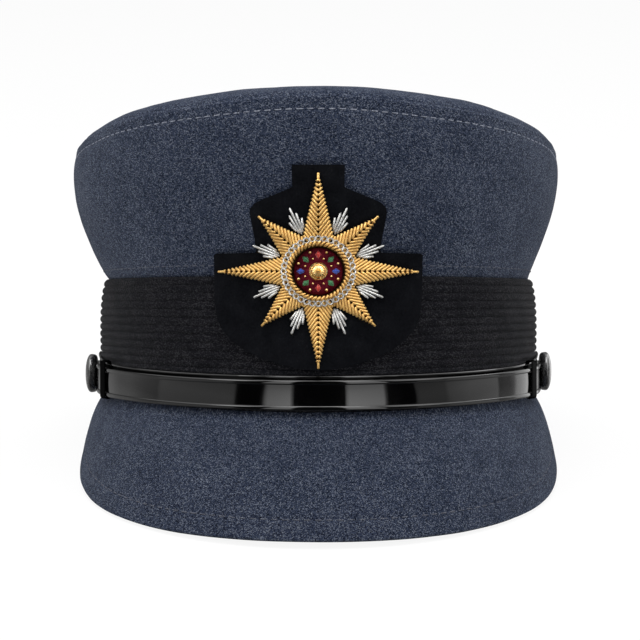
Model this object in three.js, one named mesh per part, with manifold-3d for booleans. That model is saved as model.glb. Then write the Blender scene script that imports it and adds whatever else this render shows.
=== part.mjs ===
// Service dress hat, in millimetres, +Z up, front towards -Y.
// The hat is laid out upright, with Z = 0 at the bottom edge of its band and the Z axis through the
// middle of the head oval. The whole hat is then leaned back until it stands on a surface, on its
// peak's lower edge and the rear of its band, and its origin is moved to the middle of its footprint.
import * as THREE from "three";
import { ParametricGeometry } from "three/addons/geometries/ParametricGeometry.js";
import { mergeVertices } from "three/addons/utils/BufferGeometryUtils.js";
import Module from "manifold-3d";

const wasm = await Module();
wasm.setup();

// ---------------------------------------------------------------- driving dimensions

const GAP = 0.3; // clearance between neighbouring pieces
const AROUND = 48; // flats round a piece that goes right round the head

// Head oval: the outside of the braid band at its fullest.
const HALF_WIDTH = 85;
const HALF_LENGTH = 100;

// Braid band.
const BAND_HEIGHT = 48.5;
const BAND_INSIDE = -3; // inner face, outwards from the head oval
const BAND_FULLEST = 30; // height of the band's widest level
const BAND_BARREL = 1; // how far its lower edge draws in
const BAND_SHOULDER = 1.6; // how far its top edge rolls in
const BOTTOM_RISE = 4.2; // the bottom edge arches up over the ears
const RIB_COUNT = 16;
const RIB_RELIEF = 0.35;

// Crown.
const CLOTH = 2; // wall of the crown and of its top
const BASE_OUTSIDE = BAND_INSIDE - GAP; // the crown's wall goes down inside the band
const SIDE_SEAM = 0.1; // degrees from the seam over each ear to the edge of either half
const CROWN_TUCK = -3.1; // where the wall leaves the top of the band
const CROWN_FLARE = 12.6; // how far it then swells
const CROWN_FULLEST = 0.87; // share of its height where it is widest
const CROWN_FULLNESS = 0.95; // under 1 fills the curve out just above the band
const CROWN_SHOULDER = 2.2; // how far it rolls in again at the rim
const RIM_HEIGHT = 96.6; // height of the rim above the hat's middle
const RIM_SLOPE = 0.134; // the rim rises towards the front
const RIM_LEDGE = 0.4; // the top's seam stands this far proud of the wall
const DOME = 13.2; // rise of the domed top above its rim

// Peak.
const PEAK_DEPTH = 49;
const PEAK_END = 90; // angle from the front at which the peak stops, degrees
const PEAK_VANISH = 92; // angle at which its depth would reach zero, degrees
const PEAK_TAPER = 0.68;
const PEAK_SLOPE_FRONT = 58; // degrees below the horizontal
const PEAK_SLOPE_SIDE = 70;
const PEAK_BOW = 2.2; // bulge of its section
const PEAK_BOW_FADE = 0.3; // how soon the bulge fades towards the sides
const PEAK_THICKNESS = 2.4;
const PEAK_ROOT = -0.6; // outwards from the head oval
const UNDERSIDE_THICKNESS = 0.9;
const UNDERSIDE_START = 0.06; // share of the depth at which the lining starts

// Chin strap, in two layers, with a bead along each edge of the outer one.
const STRAP_WIDTH = 12.5;
const STRAP_SIDE_HEIGHT = 12; // middle of the strap at the buttons
const STRAP_DIP = 5.4; // how much lower it hangs at the front
const STRAP_INNER_RISE = 1.8; // how much higher the inner layer runs at the sides
const INNER_LAYER = 0.8;
const OUTER_LAYER = 0.9;
const BEAD_WIDTH = 2;
const BEAD_RELIEF = 0.4;
const KEEPER_ANGLE = 68; // from the front, degrees
const KEEPER_WIDTH = 7;
const KEEPER_LEATHER = 0.45;
const KEEPER_CLEARANCE = 0.2;
const STRAP_STAND_OFF = 0.3; // from the band's ribs
const STRAP_LIFT = 0.6; // extra stand-off where the keeper's loop passes behind

// Side buttons.
const BUTTON_RADIUS = 7.5;
const BUTTON_RIM = 0.9;
const BUTTON_DOME = 2.6;

// Badge, laid out flat about its middle: X across, Y up, Z out of the felt.
const BADGE_HEIGHT = 50; // middle of the star above the band's bottom edge
const FELT = 1.2;
const STAR_SEAT = FELT + 0.45; // clear of the felt's flats
const RAY_COUNT = 8;
const LONG_RAY = 34;
const SHORT_RAY = 27;
const VALLEY_RADIUS = 13;
const STAR_HOLE = 8.6;
const STAR_EDGE = 0.6;
const STAR_CREST = 1.5;
const ROPE_RADIUS = 9.7;
const ROPE_THICKNESS = 1.9;
const STONE_CIRCLE = 5.9;
const STONE_LENGTH = 3.4;
const STONE_WIDTH = 2.4;
const STONE_HEIGHT = 1.4;
const BOSS_RADIUS = 3.1;
const BOSS_HEIGHT = 1.8;

// The felt patch's outline: half widths at each height above the band's bottom edge.
const PATCH_TAB = { halfWidth: 8.8, top: 87.2, bottom: 79.1 };
const PATCH_SHOULDER = { halfWidth: 24.3, top: 72.8, waist: 22.3 };
const PATCH_WING = { halfWidth: 36.7, top: 56.6, bottom: 38, bottomHalfWidth: 35.8 };
const PATCH_BOTTOM = 15.1;

// How far the back of the felt stands out from the head oval, on its way up band and crown.
const PATCH_PROFILE = [
  { height: 10, out: 0.45 },
  { height: 30, out: 0.75 },
  { height: 46, out: 0.8 },
  { height: 56, out: 1.1 },
  { height: 66, out: 3.8 },
  { height: 76, out: 6.6 },
  { height: 92, out: 9.5 },
];

// ---------------------------------------------------------------- materials

const finish = (color, roughness, metalness = 0) =>
  new THREE.MeshStandardMaterial({ color, roughness, metalness });

const cloth = finish(0x3a4150, 0.95);
const braid = finish(0x1e1f23, 0.85);
const lining = finish(0x121214, 0.6);
const patent = finish(0x141315, 0.12);
const button = finish(0x161618, 0.2);
const felt = finish(0x0e1012, 0.95);
const gold = finish(0xc69d5f, 0.35, 0.9);
const silver = finish(0xb9b8b4, 0.35, 0.9);
const velvet = finish(0x5a1a20, 0.9);
const red = finish(0xa8322c, 0.4);
const green = finish(0x2f6b3c, 0.4);
const blue = finish(0x2c4f9a, 0.4);
const stoneColours = [red, green, blue, green];

// ---------------------------------------------------------------- helpers

const { degToRad, lerp, smoothstep } = THREE.MathUtils;

// A closed geometry without doubled vertices or collapsed triangles.
function closed(geometry) {
  geometry.deleteAttribute("normal");
  geometry.deleteAttribute("uv");
  const merged = mergeVertices(geometry, 1e-4);
  const kept = [];
  for (let i = 0; i < merged.index.count; i += 3) {
    const [a, b, c] = [0, 1, 2].map((k) => merged.index.getX(i + k));
    if (a !== b && b !== c && c !== a) kept.push(a, b, c);
  }
  merged.setIndex(kept);
  merged.computeVertexNormals();
  return merged;
}

// A closed body through section loops that all have the same number of corners, each listed from
// its outer face's lowest corner upwards. A joined body runs round to its first section again, and
// any other is closed by a cap at each end.
function loft(sections, joined) {
  const corners = sections[0].length;
  const middle = (section) => {
    const sum = section.reduce((total, corner) => total.add(corner), new THREE.Vector3());
    return section.map(() => sum.clone().divideScalar(corners));
  };
  const rows = joined
    ? [...sections, sections[0]]
    : [middle(sections[0]), ...sections, middle(sections.at(-1))];
  const surface = (u, v, target) => {
    const row = rows[Math.round(v * (rows.length - 1))];
    target.copy(row[Math.round((1 - u) * corners) % corners]);
  };
  return closed(new ParametricGeometry(surface, corners, rows.length - 1));
}

// Angles from one end of a sweep to the other, in radians from the hat's front.
function anglesBetween(from, to, steps) {
  const turn = (i) => degToRad(lerp(from, to, i / steps));
  return Array.from({ length: steps + 1 }, (_, i) => turn(i));
}

const wholeTurn = anglesBetween(0, 360, AROUND).slice(0, -1);

function ovalNormal(angle) {
  return new THREE.Vector3(Math.sin(angle) / HALF_WIDTH, -Math.cos(angle) / HALF_LENGTH, 0).normalize();
}

// A point at an angle from the front, a distance outwards from the head oval, at a height.
function ovalPoint(angle, out, height) {
  const foot = new THREE.Vector3(HALF_WIDTH * Math.sin(angle), -HALF_LENGTH * Math.cos(angle), height);
  return foot.addScaledVector(ovalNormal(angle), out);
}

function manifoldOf(geometry) {
  const mesh = closed(geometry);
  return new wasm.Manifold(
    new wasm.Mesh({
      numProp: 3,
      vertProperties: mesh.attributes.position.array,
      triVerts: new Uint32Array(mesh.index.array),
    }),
  );
}

function geometryOf(solid) {
  const mesh = solid.getMesh();
  const geometry = new THREE.BufferGeometry();
  geometry.setAttribute("position", new THREE.BufferAttribute(mesh.vertProperties, 3));
  geometry.setIndex(new THREE.BufferAttribute(mesh.triVerts, 1));
  geometry.computeVertexNormals();
  return geometry;
}

// ---------------------------------------------------------------- band and crown

function bandOut(height) {
  const barrel = BAND_BARREL * ((height - BAND_FULLEST) / BAND_FULLEST) ** 2;
  return -barrel - BAND_SHOULDER * (height / BAND_HEIGHT) ** 8;
}

const bottomHeight = (angle) => BOTTOM_RISE * Math.sin(angle) ** 2;

function bandGeometry() {
  const section = (angle) => {
    const halfRibs = Array.from({ length: 2 * RIB_COUNT + 1 }, (_, i) => i);
    const outside = halfRibs.map((i) => {
      const height = lerp(bottomHeight(angle), BAND_HEIGHT, i / (2 * RIB_COUNT));
      const relief = i % 2 ? RIB_RELIEF : -RIB_RELIEF;
      return ovalPoint(angle, bandOut(height) + relief, height);
    });
    const inside = [BAND_HEIGHT, bottomHeight(angle)];
    return [...outside, ...inside.map((height) => ovalPoint(angle, BAND_INSIDE, height))];
  };
  return loft(wholeTurn.map(section), true);
}

const rimHeightAt = (y) => RIM_HEIGHT - RIM_SLOPE * y;

function crownOut(share) {
  const swell = Math.sin((Math.PI / 2) * (share / CROWN_FULLEST) ** CROWN_FULLNESS);
  return CROWN_TUCK + CROWN_FLARE * swell - CROWN_SHOULDER * share ** 12;
}

// A point on the crown's wall: share 0 is at the top of the band, and 1 at the rim.
function crownPoint(angle, share, inwards) {
  const point = ovalPoint(angle, crownOut(share) - inwards, 0);
  point.z = lerp(BAND_HEIGHT + GAP, rimHeightAt(point.y), share);
  return point;
}

// One half of the wall, from one side seam round the front or the rear to the other.
function crownSideGeometry(middle) {
  const outerShares = [0, 0.06, 0.14, 0.26, 0.4, 0.6, 0.8, 0.91, 1];
  const innerShares = [1, 0.7, 0.4, 0.14];
  const section = (angle) => [
    ovalPoint(angle, BASE_OUTSIDE, bottomHeight(angle)),
    ovalPoint(angle, BASE_OUTSIDE, BAND_HEIGHT - GAP),
    ...outerShares.map((share) => crownPoint(angle, share, 0)),
    ...innerShares.map((share) => crownPoint(angle, share, CLOTH)),
    ovalPoint(angle, BASE_OUTSIDE - CLOTH, BAND_HEIGHT - GAP),
    ovalPoint(angle, BASE_OUTSIDE - CLOTH, bottomHeight(angle)),
  ];
  const reach = 90 - SIDE_SEAM;
  return loft(anglesBetween(middle - reach, middle + reach, AROUND / 2).map(section), false);
}

function crownTopGeometry() {
  const outerTurns = [90, 83, 72, 58, 42, 22, 0];
  const innerTurns = [0, 25, 50, 72, 90];
  const domePoint = (rim, turn, inwards) => {
    const reach = Math.sin(degToRad(turn)) * (1 - inwards / HALF_WIDTH);
    const point = rim.clone().multiplyScalar(reach);
    point.z = rimHeightAt(point.y) + GAP + (DOME - inwards) * Math.cos(degToRad(turn));
    return point;
  };
  const section = (angle) => {
    const rim = ovalPoint(angle, crownOut(1) + RIM_LEDGE, 0);
    return [
      ...outerTurns.map((turn) => domePoint(rim, turn, 0)),
      ...innerTurns.map((turn) => domePoint(rim, turn, CLOTH)),
    ];
  };
  return loft(wholeTurn.map(section), true);
}

// ---------------------------------------------------------------- peak

function peakDepth(angle) {
  const share = angle / degToRad(PEAK_VANISH);
  return (PEAK_DEPTH + bottomHeight(angle)) * (1 - share * share) ** PEAK_TAPER;
}

function peakSlope(angle) {
  const share = angle / degToRad(PEAK_END);
  return degToRad(lerp(PEAK_SLOPE_FRONT, PEAK_SLOPE_SIDE, share * share));
}

// A point of the peak's section: a share of the way from its root to its edge, and a depth below
// its upper face. The root's end is level, so that it meets the band's bottom edge squarely.
function peakPoint(angle, share, below) {
  const slope = peakSlope(angle);
  const outwards = ovalNormal(angle);
  const along = outwards.clone().multiplyScalar(Math.cos(slope));
  along.z = -Math.sin(slope);
  const upwards = outwards.clone().multiplyScalar(Math.sin(slope));
  upwards.z = Math.cos(slope);
  const levelEnd = (below / Math.tan(slope)) * (1 - share);
  const bow = PEAK_BOW * Math.sin(Math.PI * share) * Math.cos(angle) ** PEAK_BOW_FADE;
  return ovalPoint(angle, PEAK_ROOT, bottomHeight(angle) - GAP)
    .addScaledVector(along, peakDepth(angle) * share - levelEnd)
    .addScaledVector(upwards, bow - below);
}

// One layer of the peak between two depths below its upper face, through shares from edge to root.
function peakLayerGeometry(top, bottom, shares) {
  const section = (angle) => [
    ...shares.map((share) => peakPoint(angle, share, top)),
    ...shares.map((share) => peakPoint(angle, share, bottom)).reverse(),
  ];
  return loft(anglesBetween(-PEAK_END, PEAK_END, 40).map(section), false);
}

// ---------------------------------------------------------------- chin strap and buttons

const strapHeight = (angle) => STRAP_SIDE_HEIGHT - STRAP_DIP * Math.cos(angle);

// Where the back of the inner layer lies: on the band's ribs, and further out at the keepers.
function strapOut(angle) {
  const away = Math.abs(Math.abs(angle) - degToRad(KEEPER_ANGLE));
  const lift = STRAP_LIFT * (1 - smoothstep(away, degToRad(4), degToRad(14)));
  return bandOut(STRAP_SIDE_HEIGHT) + RIB_RELIEF + STRAP_STAND_OFF + lift;
}

const strapAngles = anglesBetween(-90, 90, 48);

function strapInnerGeometry() {
  const section = (angle) => {
    const height = strapHeight(angle) + GAP + STRAP_INNER_RISE * Math.sin(angle) ** 4;
    const back = strapOut(angle);
    const front = back + INNER_LAYER;
    const low = height - STRAP_WIDTH / 2;
    const high = height + STRAP_WIDTH / 2;
    const corner = (out, z) => ovalPoint(angle, out, z);
    return [corner(front, low), corner(front, high), corner(back, high), corner(back, low)];
  };
  return loft(strapAngles.map(section), false);
}

function strapOuterGeometry() {
  const section = (angle) => {
    const height = strapHeight(angle);
    const back = strapOut(angle) + INNER_LAYER + GAP;
    const face = back + OUTER_LAYER;
    const half = STRAP_WIDTH / 2;
    const rows = [
      { out: back, up: -half },
      { out: face, up: -half },
      { out: face + BEAD_RELIEF, up: -half + BEAD_WIDTH / 2 },
      { out: face, up: -half + BEAD_WIDTH },
      { out: face, up: half - BEAD_WIDTH },
      { out: face + BEAD_RELIEF, up: half - BEAD_WIDTH / 2 },
      { out: face, up: half },
      { out: back, up: half },
    ];
    return rows.map((row) => ovalPoint(angle, row.out, height + row.up));
  };
  return loft(strapAngles.map(section), false);
}

// A flat leather loop round both layers: a rectangle with a rectangular hole, as wide as the loop.
function keeperGeometry() {
  const angle = degToRad(KEEPER_ANGLE);
  const bulk = INNER_LAYER + GAP + OUTER_LAYER + BEAD_RELIEF;
  const rise = GAP + STRAP_INNER_RISE * Math.sin(angle) ** 4;
  const hole = {
    back: strapOut(angle) - KEEPER_CLEARANCE,
    front: strapOut(angle) + bulk + KEEPER_CLEARANCE,
    low: -STRAP_WIDTH / 2 - 2 * KEEPER_CLEARANCE,
    high: STRAP_WIDTH / 2 + rise + 2 * KEEPER_CLEARANCE,
  };
  const rectangle = (path, by) => {
    path.moveTo(hole.back - by, hole.low - by);
    path.lineTo(hole.front + by, hole.low - by);
    path.lineTo(hole.front + by, hole.high + by);
    path.lineTo(hole.back - by, hole.high + by);
    path.closePath();
    return path;
  };
  const shape = rectangle(new THREE.Shape(), KEEPER_LEATHER);
  shape.holes.push(rectangle(new THREE.Path(), 0));
  const loop = new THREE.ExtrudeGeometry(shape, { depth: KEEPER_WIDTH, bevelEnabled: false });
  loop.translate(0, 0, -KEEPER_WIDTH / 2);
  return closed(loop);
}

function placeKeeper(keeper, side) {
  const angle = side * degToRad(KEEPER_ANGLE);
  const outwards = ovalNormal(angle);
  const up = new THREE.Vector3(0, 0, 1);
  const along = outwards.clone().cross(up);
  keeper.quaternion.setFromRotationMatrix(new THREE.Matrix4().makeBasis(outwards, up, along));
  keeper.position.copy(ovalPoint(angle, 0, strapHeight(angle)));
}

function buttonGeometry() {
  const face = Array.from({ length: 5 }, (_, i) => {
    const turn = degToRad(90 - 22.5 * i);
    const radius = i === 4 ? 0 : BUTTON_RADIUS * Math.sin(turn);
    return new THREE.Vector2(radius, BUTTON_RIM + BUTTON_DOME * Math.cos(turn));
  });
  const profile = [
    new THREE.Vector2(0, 0),
    new THREE.Vector2(BUTTON_RADIUS - 0.6, 0),
    new THREE.Vector2(BUTTON_RADIUS, 0.4),
    ...face,
  ];
  return closed(new THREE.LatheGeometry(profile, 24));
}

// The button's back lies on the strap's end, and its dome faces straight out to the side.
function placeButton(mesh, side) {
  const back = strapOut(Math.PI / 2) + INNER_LAYER + GAP + OUTER_LAYER + BEAD_RELIEF + GAP;
  mesh.rotation.z = (-side * Math.PI) / 2;
  mesh.position.set(side * (HALF_WIDTH + back), 0, STRAP_SIDE_HEIGHT);
}

// ---------------------------------------------------------------- badge

const patchCurve = new THREE.CatmullRomCurve3(
  PATCH_PROFILE.map((row) => new THREE.Vector3(row.out, 0, row.height)),
);

// How far the felt's back stands out at a height, from the curve through the profile's rows.
function patchOut(height) {
  let low = 0;
  let high = 1;
  for (let i = 0; i < 24; i++) {
    const middle = (low + high) / 2;
    if (patchCurve.getPoint(middle).z < height) low = middle;
    else high = middle;
  }
  return patchCurve.getPoint(low).x;
}

// Bends a flat badge piece onto the hat's front: X goes round the oval, Y up and Z outwards.
function bendOnFront(geometry) {
  const spots = geometry.attributes.position;
  for (let i = 0; i < spots.count; i++) {
    const height = BADGE_HEIGHT + spots.getY(i);
    const angle = Math.asin(spots.getX(i) / HALF_WIDTH);
    const spot = ovalPoint(angle, patchOut(height) + spots.getZ(i), height);
    spots.setXYZ(i, spot.x, spot.y, spot.z);
  }
  return closed(geometry);
}

function patchOutline() {
  const outline = new THREE.Shape();
  const right = [
    [PATCH_TAB.halfWidth, PATCH_TAB.top],
    [PATCH_TAB.halfWidth, PATCH_TAB.bottom],
    [PATCH_SHOULDER.halfWidth, PATCH_SHOULDER.top],
    [PATCH_SHOULDER.waist, PATCH_WING.top],
    [PATCH_WING.halfWidth, PATCH_WING.top],
    [PATCH_WING.bottomHalfWidth, PATCH_WING.bottom],
  ];
  outline.moveTo(-right[0][0], right[0][1]);
  for (const [x, y] of right) outline.lineTo(x, y);
  const drop = PATCH_WING.bottom - PATCH_BOTTOM;
  outline.absellipse(0, PATCH_WING.bottom, PATCH_WING.bottomHalfWidth, drop, 0, Math.PI, true);
  for (const [x, y] of [...right].reverse().slice(0, -1)) outline.lineTo(-x, y);
  return outline;
}

function backingGeometry() {
  const width = 2 * PATCH_WING.halfWidth + 4;
  const height = PATCH_TAB.top - PATCH_BOTTOM + 2;
  const middle = (PATCH_TAB.top + PATCH_BOTTOM) / 2 - BADGE_HEIGHT;
  const slab = new THREE.BoxGeometry(width, height, FELT, 14, 14, 1);
  slab.translate(0, middle, FELT / 2);
  const sheet = manifoldOf(bendOnFront(slab));
  const depth = HALF_LENGTH + 40;
  const cutter = new THREE.ExtrudeGeometry(patchOutline(), { depth, bevelEnabled: false, curveSegments: 9 });
  cutter.rotateX(Math.PI / 2);
  return geometryOf(sheet.intersect(manifoldOf(cutter)));
}

// The star's outline as corners with their crest: 1 along the middle of a ray, 0 in a valley.
function starCorners() {
  const polar = (radius, turns) => {
    const turn = 2 * Math.PI * turns;
    return new THREE.Vector2(radius * Math.sin(turn), radius * Math.cos(turn));
  };
  const corners = [];
  for (let ray = 0; ray < RAY_COUNT; ray++) {
    const tip = polar(ray % 2 ? SHORT_RAY : LONG_RAY, ray / RAY_COUNT);
    const before = polar(VALLEY_RADIUS, (ray - 0.5) / RAY_COUNT);
    const after = polar(VALLEY_RADIUS, (ray + 0.5) / RAY_COUNT);
    corners.push({ spot: before, crest: 0 });
    corners.push({ spot: before.clone().lerp(tip, 0.5), crest: 0 });
    corners.push({ spot: tip, crest: 1 });
    corners.push({ spot: after.clone().lerp(tip, 0.5), crest: 0 });
  }
  return corners;
}

function starGeometry() {
  const shares = [0, 0.25, 0.5, 0.75, 1];
  const back = STAR_SEAT;
  const section = ({ spot, crest }) => {
    const start = spot.clone().setLength(STAR_HOLE);
    const place = (share, lift) => {
      const flat = start.clone().lerp(spot, share);
      return new THREE.Vector3(flat.x, flat.y, back + lift);
    };
    const lift = (share) => STAR_EDGE + (STAR_CREST - STAR_EDGE) * crest * (1 - 0.5 * share);
    return [
      ...shares.map((share) => place(share, lift(share))),
      ...shares.map((share) => place(share, 0)).reverse(),
    ];
  };
  return bendOnFront(loft(starCorners().map(section), true));
}

// A small kite that lies in a valley of the star, its long point outwards.
function silverRayGeometry(index) {
  const kite = new THREE.Shape([
    new THREE.Vector2(0, VALLEY_RADIUS + 0.9),
    new THREE.Vector2(1.5, VALLEY_RADIUS + 3.7),
    new THREE.Vector2(0, VALLEY_RADIUS + 10),
    new THREE.Vector2(-1.5, VALLEY_RADIUS + 3.7),
  ]);
  const ray = new THREE.ExtrudeGeometry(kite, { depth: STAR_EDGE + 0.2, bevelEnabled: false });
  ray.rotateZ((-2 * Math.PI * (index + 0.5)) / RAY_COUNT);
  ray.translate(0, 0, STAR_SEAT);
  return bendOnFront(ray);
}

function ropeRingGeometry() {
  const ring = new THREE.TorusGeometry(ROPE_RADIUS, ROPE_THICKNESS / 2, 6, 32);
  ring.translate(0, 0, STAR_SEAT + STAR_CREST + GAP + ROPE_THICKNESS / 2);
  return bendOnFront(ring);
}

// A body turned about the star's middle, from its profile of radii and heights above the felt.
function turnedOnBadge(profile, sides) {
  const points = profile.map(([radius, lift]) => new THREE.Vector2(radius, STAR_SEAT + lift));
  const body = new THREE.LatheGeometry(points, sides);
  body.rotateX(Math.PI / 2);
  return bendOnFront(body);
}

function velvetGeometry() {
  const radius = STAR_HOLE - GAP;
  const profile = [
    [0, 0],
    [radius / 2, 0],
    [radius, 0],
    [radius, STAR_EDGE],
    [radius - 0.7, STAR_CREST],
    [radius / 2, STAR_CREST],
    [0, STAR_CREST],
  ];
  return turnedOnBadge(profile, 24);
}

function bossGeometry() {
  const seat = STAR_CREST + GAP;
  const profile = [
    [0, seat],
    [BOSS_RADIUS, seat],
    [0.86 * BOSS_RADIUS, seat + 0.5 * BOSS_HEIGHT],
    [0.5 * BOSS_RADIUS, seat + 0.87 * BOSS_HEIGHT],
    [0, seat + BOSS_HEIGHT],
  ];
  return turnedOnBadge(profile, 16);
}

function stoneGeometry(index) {
  const stone = new THREE.OctahedronGeometry(1);
  stone.scale(STONE_WIDTH / 2, STONE_LENGTH / 2, STONE_HEIGHT / 2);
  stone.translate(0, STONE_CIRCLE, STAR_SEAT + STAR_CREST + GAP + STONE_HEIGHT / 2);
  stone.rotateZ((-2 * Math.PI * index) / RAY_COUNT);
  return bendOnFront(stone);
}

// ---------------------------------------------------------------- the whole hat

const hat = new THREE.Group();

function add(name, geometry, material) {
  const mesh = new THREE.Mesh(geometry, material);
  mesh.name = name;
  hat.add(mesh);
  return mesh;
}

add("crown_side_front", crownSideGeometry(0), cloth);
add("crown_side_rear", crownSideGeometry(180), cloth);
add("crown_top", crownTopGeometry(), cloth);
add("band", bandGeometry(), braid);
const peak = add("peak", peakLayerGeometry(0, PEAK_THICKNESS, [1, 0.8, 0.6, 0.4, 0.2, 0]), cloth);
const liningTop = PEAK_THICKNESS + GAP;
const liningBottom = liningTop + UNDERSIDE_THICKNESS;
const liningShape = peakLayerGeometry(liningTop, liningBottom, [1, 0.7, 0.4, UNDERSIDE_START]);
const underside = add("peak_underside", liningShape, lining);

add("chin_strap_inner", strapInnerGeometry(), patent);
add("chin_strap_outer", strapOuterGeometry(), patent);
for (const [word, side] of [["left", -1], ["right", 1]]) {
  placeKeeper(add("strap_keeper_" + word, keeperGeometry(), patent), side);
  placeButton(add("button_" + word, buttonGeometry(), button), side);
}

add("badge_backing", backingGeometry(), felt);
add("badge_star", starGeometry(), gold);
add("badge_velvet", velvetGeometry(), velvet);
add("badge_rope_ring", ropeRingGeometry(), gold);
add("badge_boss", bossGeometry(), gold);
for (let i = 0; i < RAY_COUNT; i++) {
  add("badge_silver_ray_" + (i + 1), silverRayGeometry(i), silver);
  add("badge_stone_" + (i + 1), stoneGeometry(i), stoneColours[i % stoneColours.length]);
}

// The lean at which the peak's lowest points come level with the band's rear bottom edge.
function restingLean() {
  const heel = ovalPoint(Math.PI, bandOut(0) - RIB_RELIEF, 0);
  let lean = 0;
  for (const mesh of [peak, underside]) {
    const spots = mesh.geometry.attributes.position;
    for (let i = 0; i < spots.count; i++) {
      lean = Math.max(lean, Math.atan2(-spots.getZ(i), heel.y - spots.getY(i)));
    }
  }
  return lean;
}

hat.rotation.x = -restingLean();
const standing = new THREE.Group();
standing.add(hat);
standing.updateMatrixWorld(true);
const box = new THREE.Box3().setFromObject(hat, true);
const footprint = box.getCenter(new THREE.Vector3());
hat.position.set(-footprint.x, -footprint.y, -box.min.z);

export default standing;
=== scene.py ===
# %% [markdown]
# # A service dress hat in Blender
# The hat has a wool crown, a ribbed braid band, a cloth covered peak, a patent chin strap on two
# buttons and a bullion star on a felt patch. The solids say how big each piece is and where it
# sits. This lesson models a finer piece over each solid and gives it the cloth, leather or wire
# that the real one has.

import math

import bpy
from mathutils import Matrix, Vector


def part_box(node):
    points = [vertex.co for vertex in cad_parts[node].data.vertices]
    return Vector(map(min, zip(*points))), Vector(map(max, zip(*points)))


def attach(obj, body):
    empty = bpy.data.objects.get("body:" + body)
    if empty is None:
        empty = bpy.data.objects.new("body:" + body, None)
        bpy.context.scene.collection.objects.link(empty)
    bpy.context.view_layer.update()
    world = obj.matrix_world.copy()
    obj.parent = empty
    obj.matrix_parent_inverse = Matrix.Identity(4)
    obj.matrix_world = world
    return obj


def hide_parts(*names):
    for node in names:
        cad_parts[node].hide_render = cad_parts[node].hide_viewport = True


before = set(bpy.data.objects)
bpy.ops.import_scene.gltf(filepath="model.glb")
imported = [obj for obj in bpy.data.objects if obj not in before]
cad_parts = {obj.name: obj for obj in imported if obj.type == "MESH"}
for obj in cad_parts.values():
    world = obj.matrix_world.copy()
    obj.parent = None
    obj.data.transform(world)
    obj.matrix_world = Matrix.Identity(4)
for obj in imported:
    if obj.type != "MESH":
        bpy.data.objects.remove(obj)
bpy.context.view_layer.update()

# %% [markdown]
# ## Two frames
# On a table the hat leans back, because the peak's lowest points and the rear of the band carry
# it. Modelling is easier on an upright hat, so every piece is made upright with its band level,
# and is stood on the table at the end by one matrix. The buttons prove the matrix: their middle
# must come out where the solid buttons are.

# %% The upright hat and how it stands
MM = 0.001
LEAN = math.radians(11.616)
STAND = Matrix.Translation((0.0, 4.389 * MM, 19.864 * MM)) @ Matrix.Rotation(-LEAN, 4, "X")

HALF_WIDTH = 85.0
HALF_LENGTH = 100.0
BAND_HEIGHT = 48.5
BOTTOM_RISE = 4.2
STRAP_SIDE_HEIGHT = 12.0

low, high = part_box("button_left")
button_middle = STAND @ (Vector((0.0, 0.0, STRAP_SIDE_HEIGHT)) * MM)
print("button middle off by", round((button_middle - (low + high) / 2).yz.length / MM, 3), "mm")

# %% [markdown]
# ## Opening and closing a piece
# Loading the solids leaves them selected, and an operator acts on all that is selected. Each
# piece therefore starts with nothing selected. These helpers let go of everything, open one
# piece for editing as the Tab key does, and close it again.


# %% Letting go, opening and closing
def let_go():
    """Leaves every object unselected, so that the next operator acts on the new piece alone."""
    bpy.ops.object.select_all(action="DESELECT")


def choose(piece):
    """Selects one piece alone and makes it the active one."""
    let_go()
    bpy.context.view_layer.objects.active = piece
    piece.select_set(True)


def edit(piece):
    """Opens one piece for editing with nothing selected in it."""
    choose(piece)
    bpy.ops.object.mode_set(mode="EDIT")
    bpy.ops.mesh.select_all(action="DESELECT")


def close_edit():
    bpy.ops.object.mode_set(mode="OBJECT")


let_go()
print("still selected:", len(bpy.context.selected_objects))

# %% [markdown]
# ## A stack of rings
# Most of a hat is a stack of oval rings. They could be bridged one by one, but it is quicker to
# add one ring and extrude it from row to row: a row is the ring's half width, half length, height
# and tilt. A tilted ring is a little longer along its own plane, which keeps the outline the
# same from above.

# %% Helpers for rings of vertices
AROUND = 192  # vertices in a large ring


def tip_ring(angle, height):
    """Tilts the selected ring about X. Without a window this operator turns the other way."""
    middle = (0, 0, height * MM)
    bpy.ops.transform.rotate(value=-angle, orient_axis="X", center_override=middle)


def reshape_ring(old, new):
    """Takes the selected ring from one row (half width, half length, height, tilt) to the next."""
    wide, long, height, tilt = old
    new_wide, new_long, new_height, new_tilt = new
    if tilt:
        tip_ring(-tilt, height)
    stretch = (new_long / math.cos(new_tilt)) / (long / math.cos(tilt))
    middle = (0, 0, height * MM)
    bpy.ops.transform.resize(value=(new_wide / wide, stretch, 1), center_override=middle)
    if new_tilt:
        tip_ring(new_tilt, height)
    bpy.ops.transform.translate(value=(0, 0, (new_height - height) * MM))


def stack_rings(rows, sides=AROUND, closed=False):
    """A skin through the rows, from the first ring to the last, and back to the first if closed."""
    let_go()
    bpy.ops.mesh.primitive_circle_add(vertices=sides, radius=MM, fill_type="NOTHING")
    bpy.ops.object.mode_set(mode="EDIT")
    bpy.ops.mesh.select_all(action="SELECT")
    reshape_ring((1, 1, 0, 0), rows[0])
    last = rows + rows[:1] if closed else rows
    for old, new in zip(last, last[1:]):
        bpy.ops.mesh.extrude_region_move()
        reshape_ring(old, new)
    bpy.ops.mesh.select_all(action="SELECT")
    if closed:
        bpy.ops.mesh.remove_doubles(threshold=0.001 * MM)
    bpy.ops.mesh.normals_make_consistent(inside=False)
    close_edit()
    return bpy.context.object


def oval_row(out, height, slope=0.0):
    """A ring that stands out from the head oval; slope is its fall from front to rear."""
    return (HALF_WIDTH + out, HALF_LENGTH + out, height, -math.atan(slope))


print("a ring has", AROUND, "vertices")

# %% [markdown]
# ## Finishing a piece
# A modifier is given its settings and applied at once, so that every finished piece is plain
# mesh. A finished piece sits at the origin, unturned, with its place in its mesh, as the solids
# do. It rides on the hat's one body, and the solids that it replaces are hidden.


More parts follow.
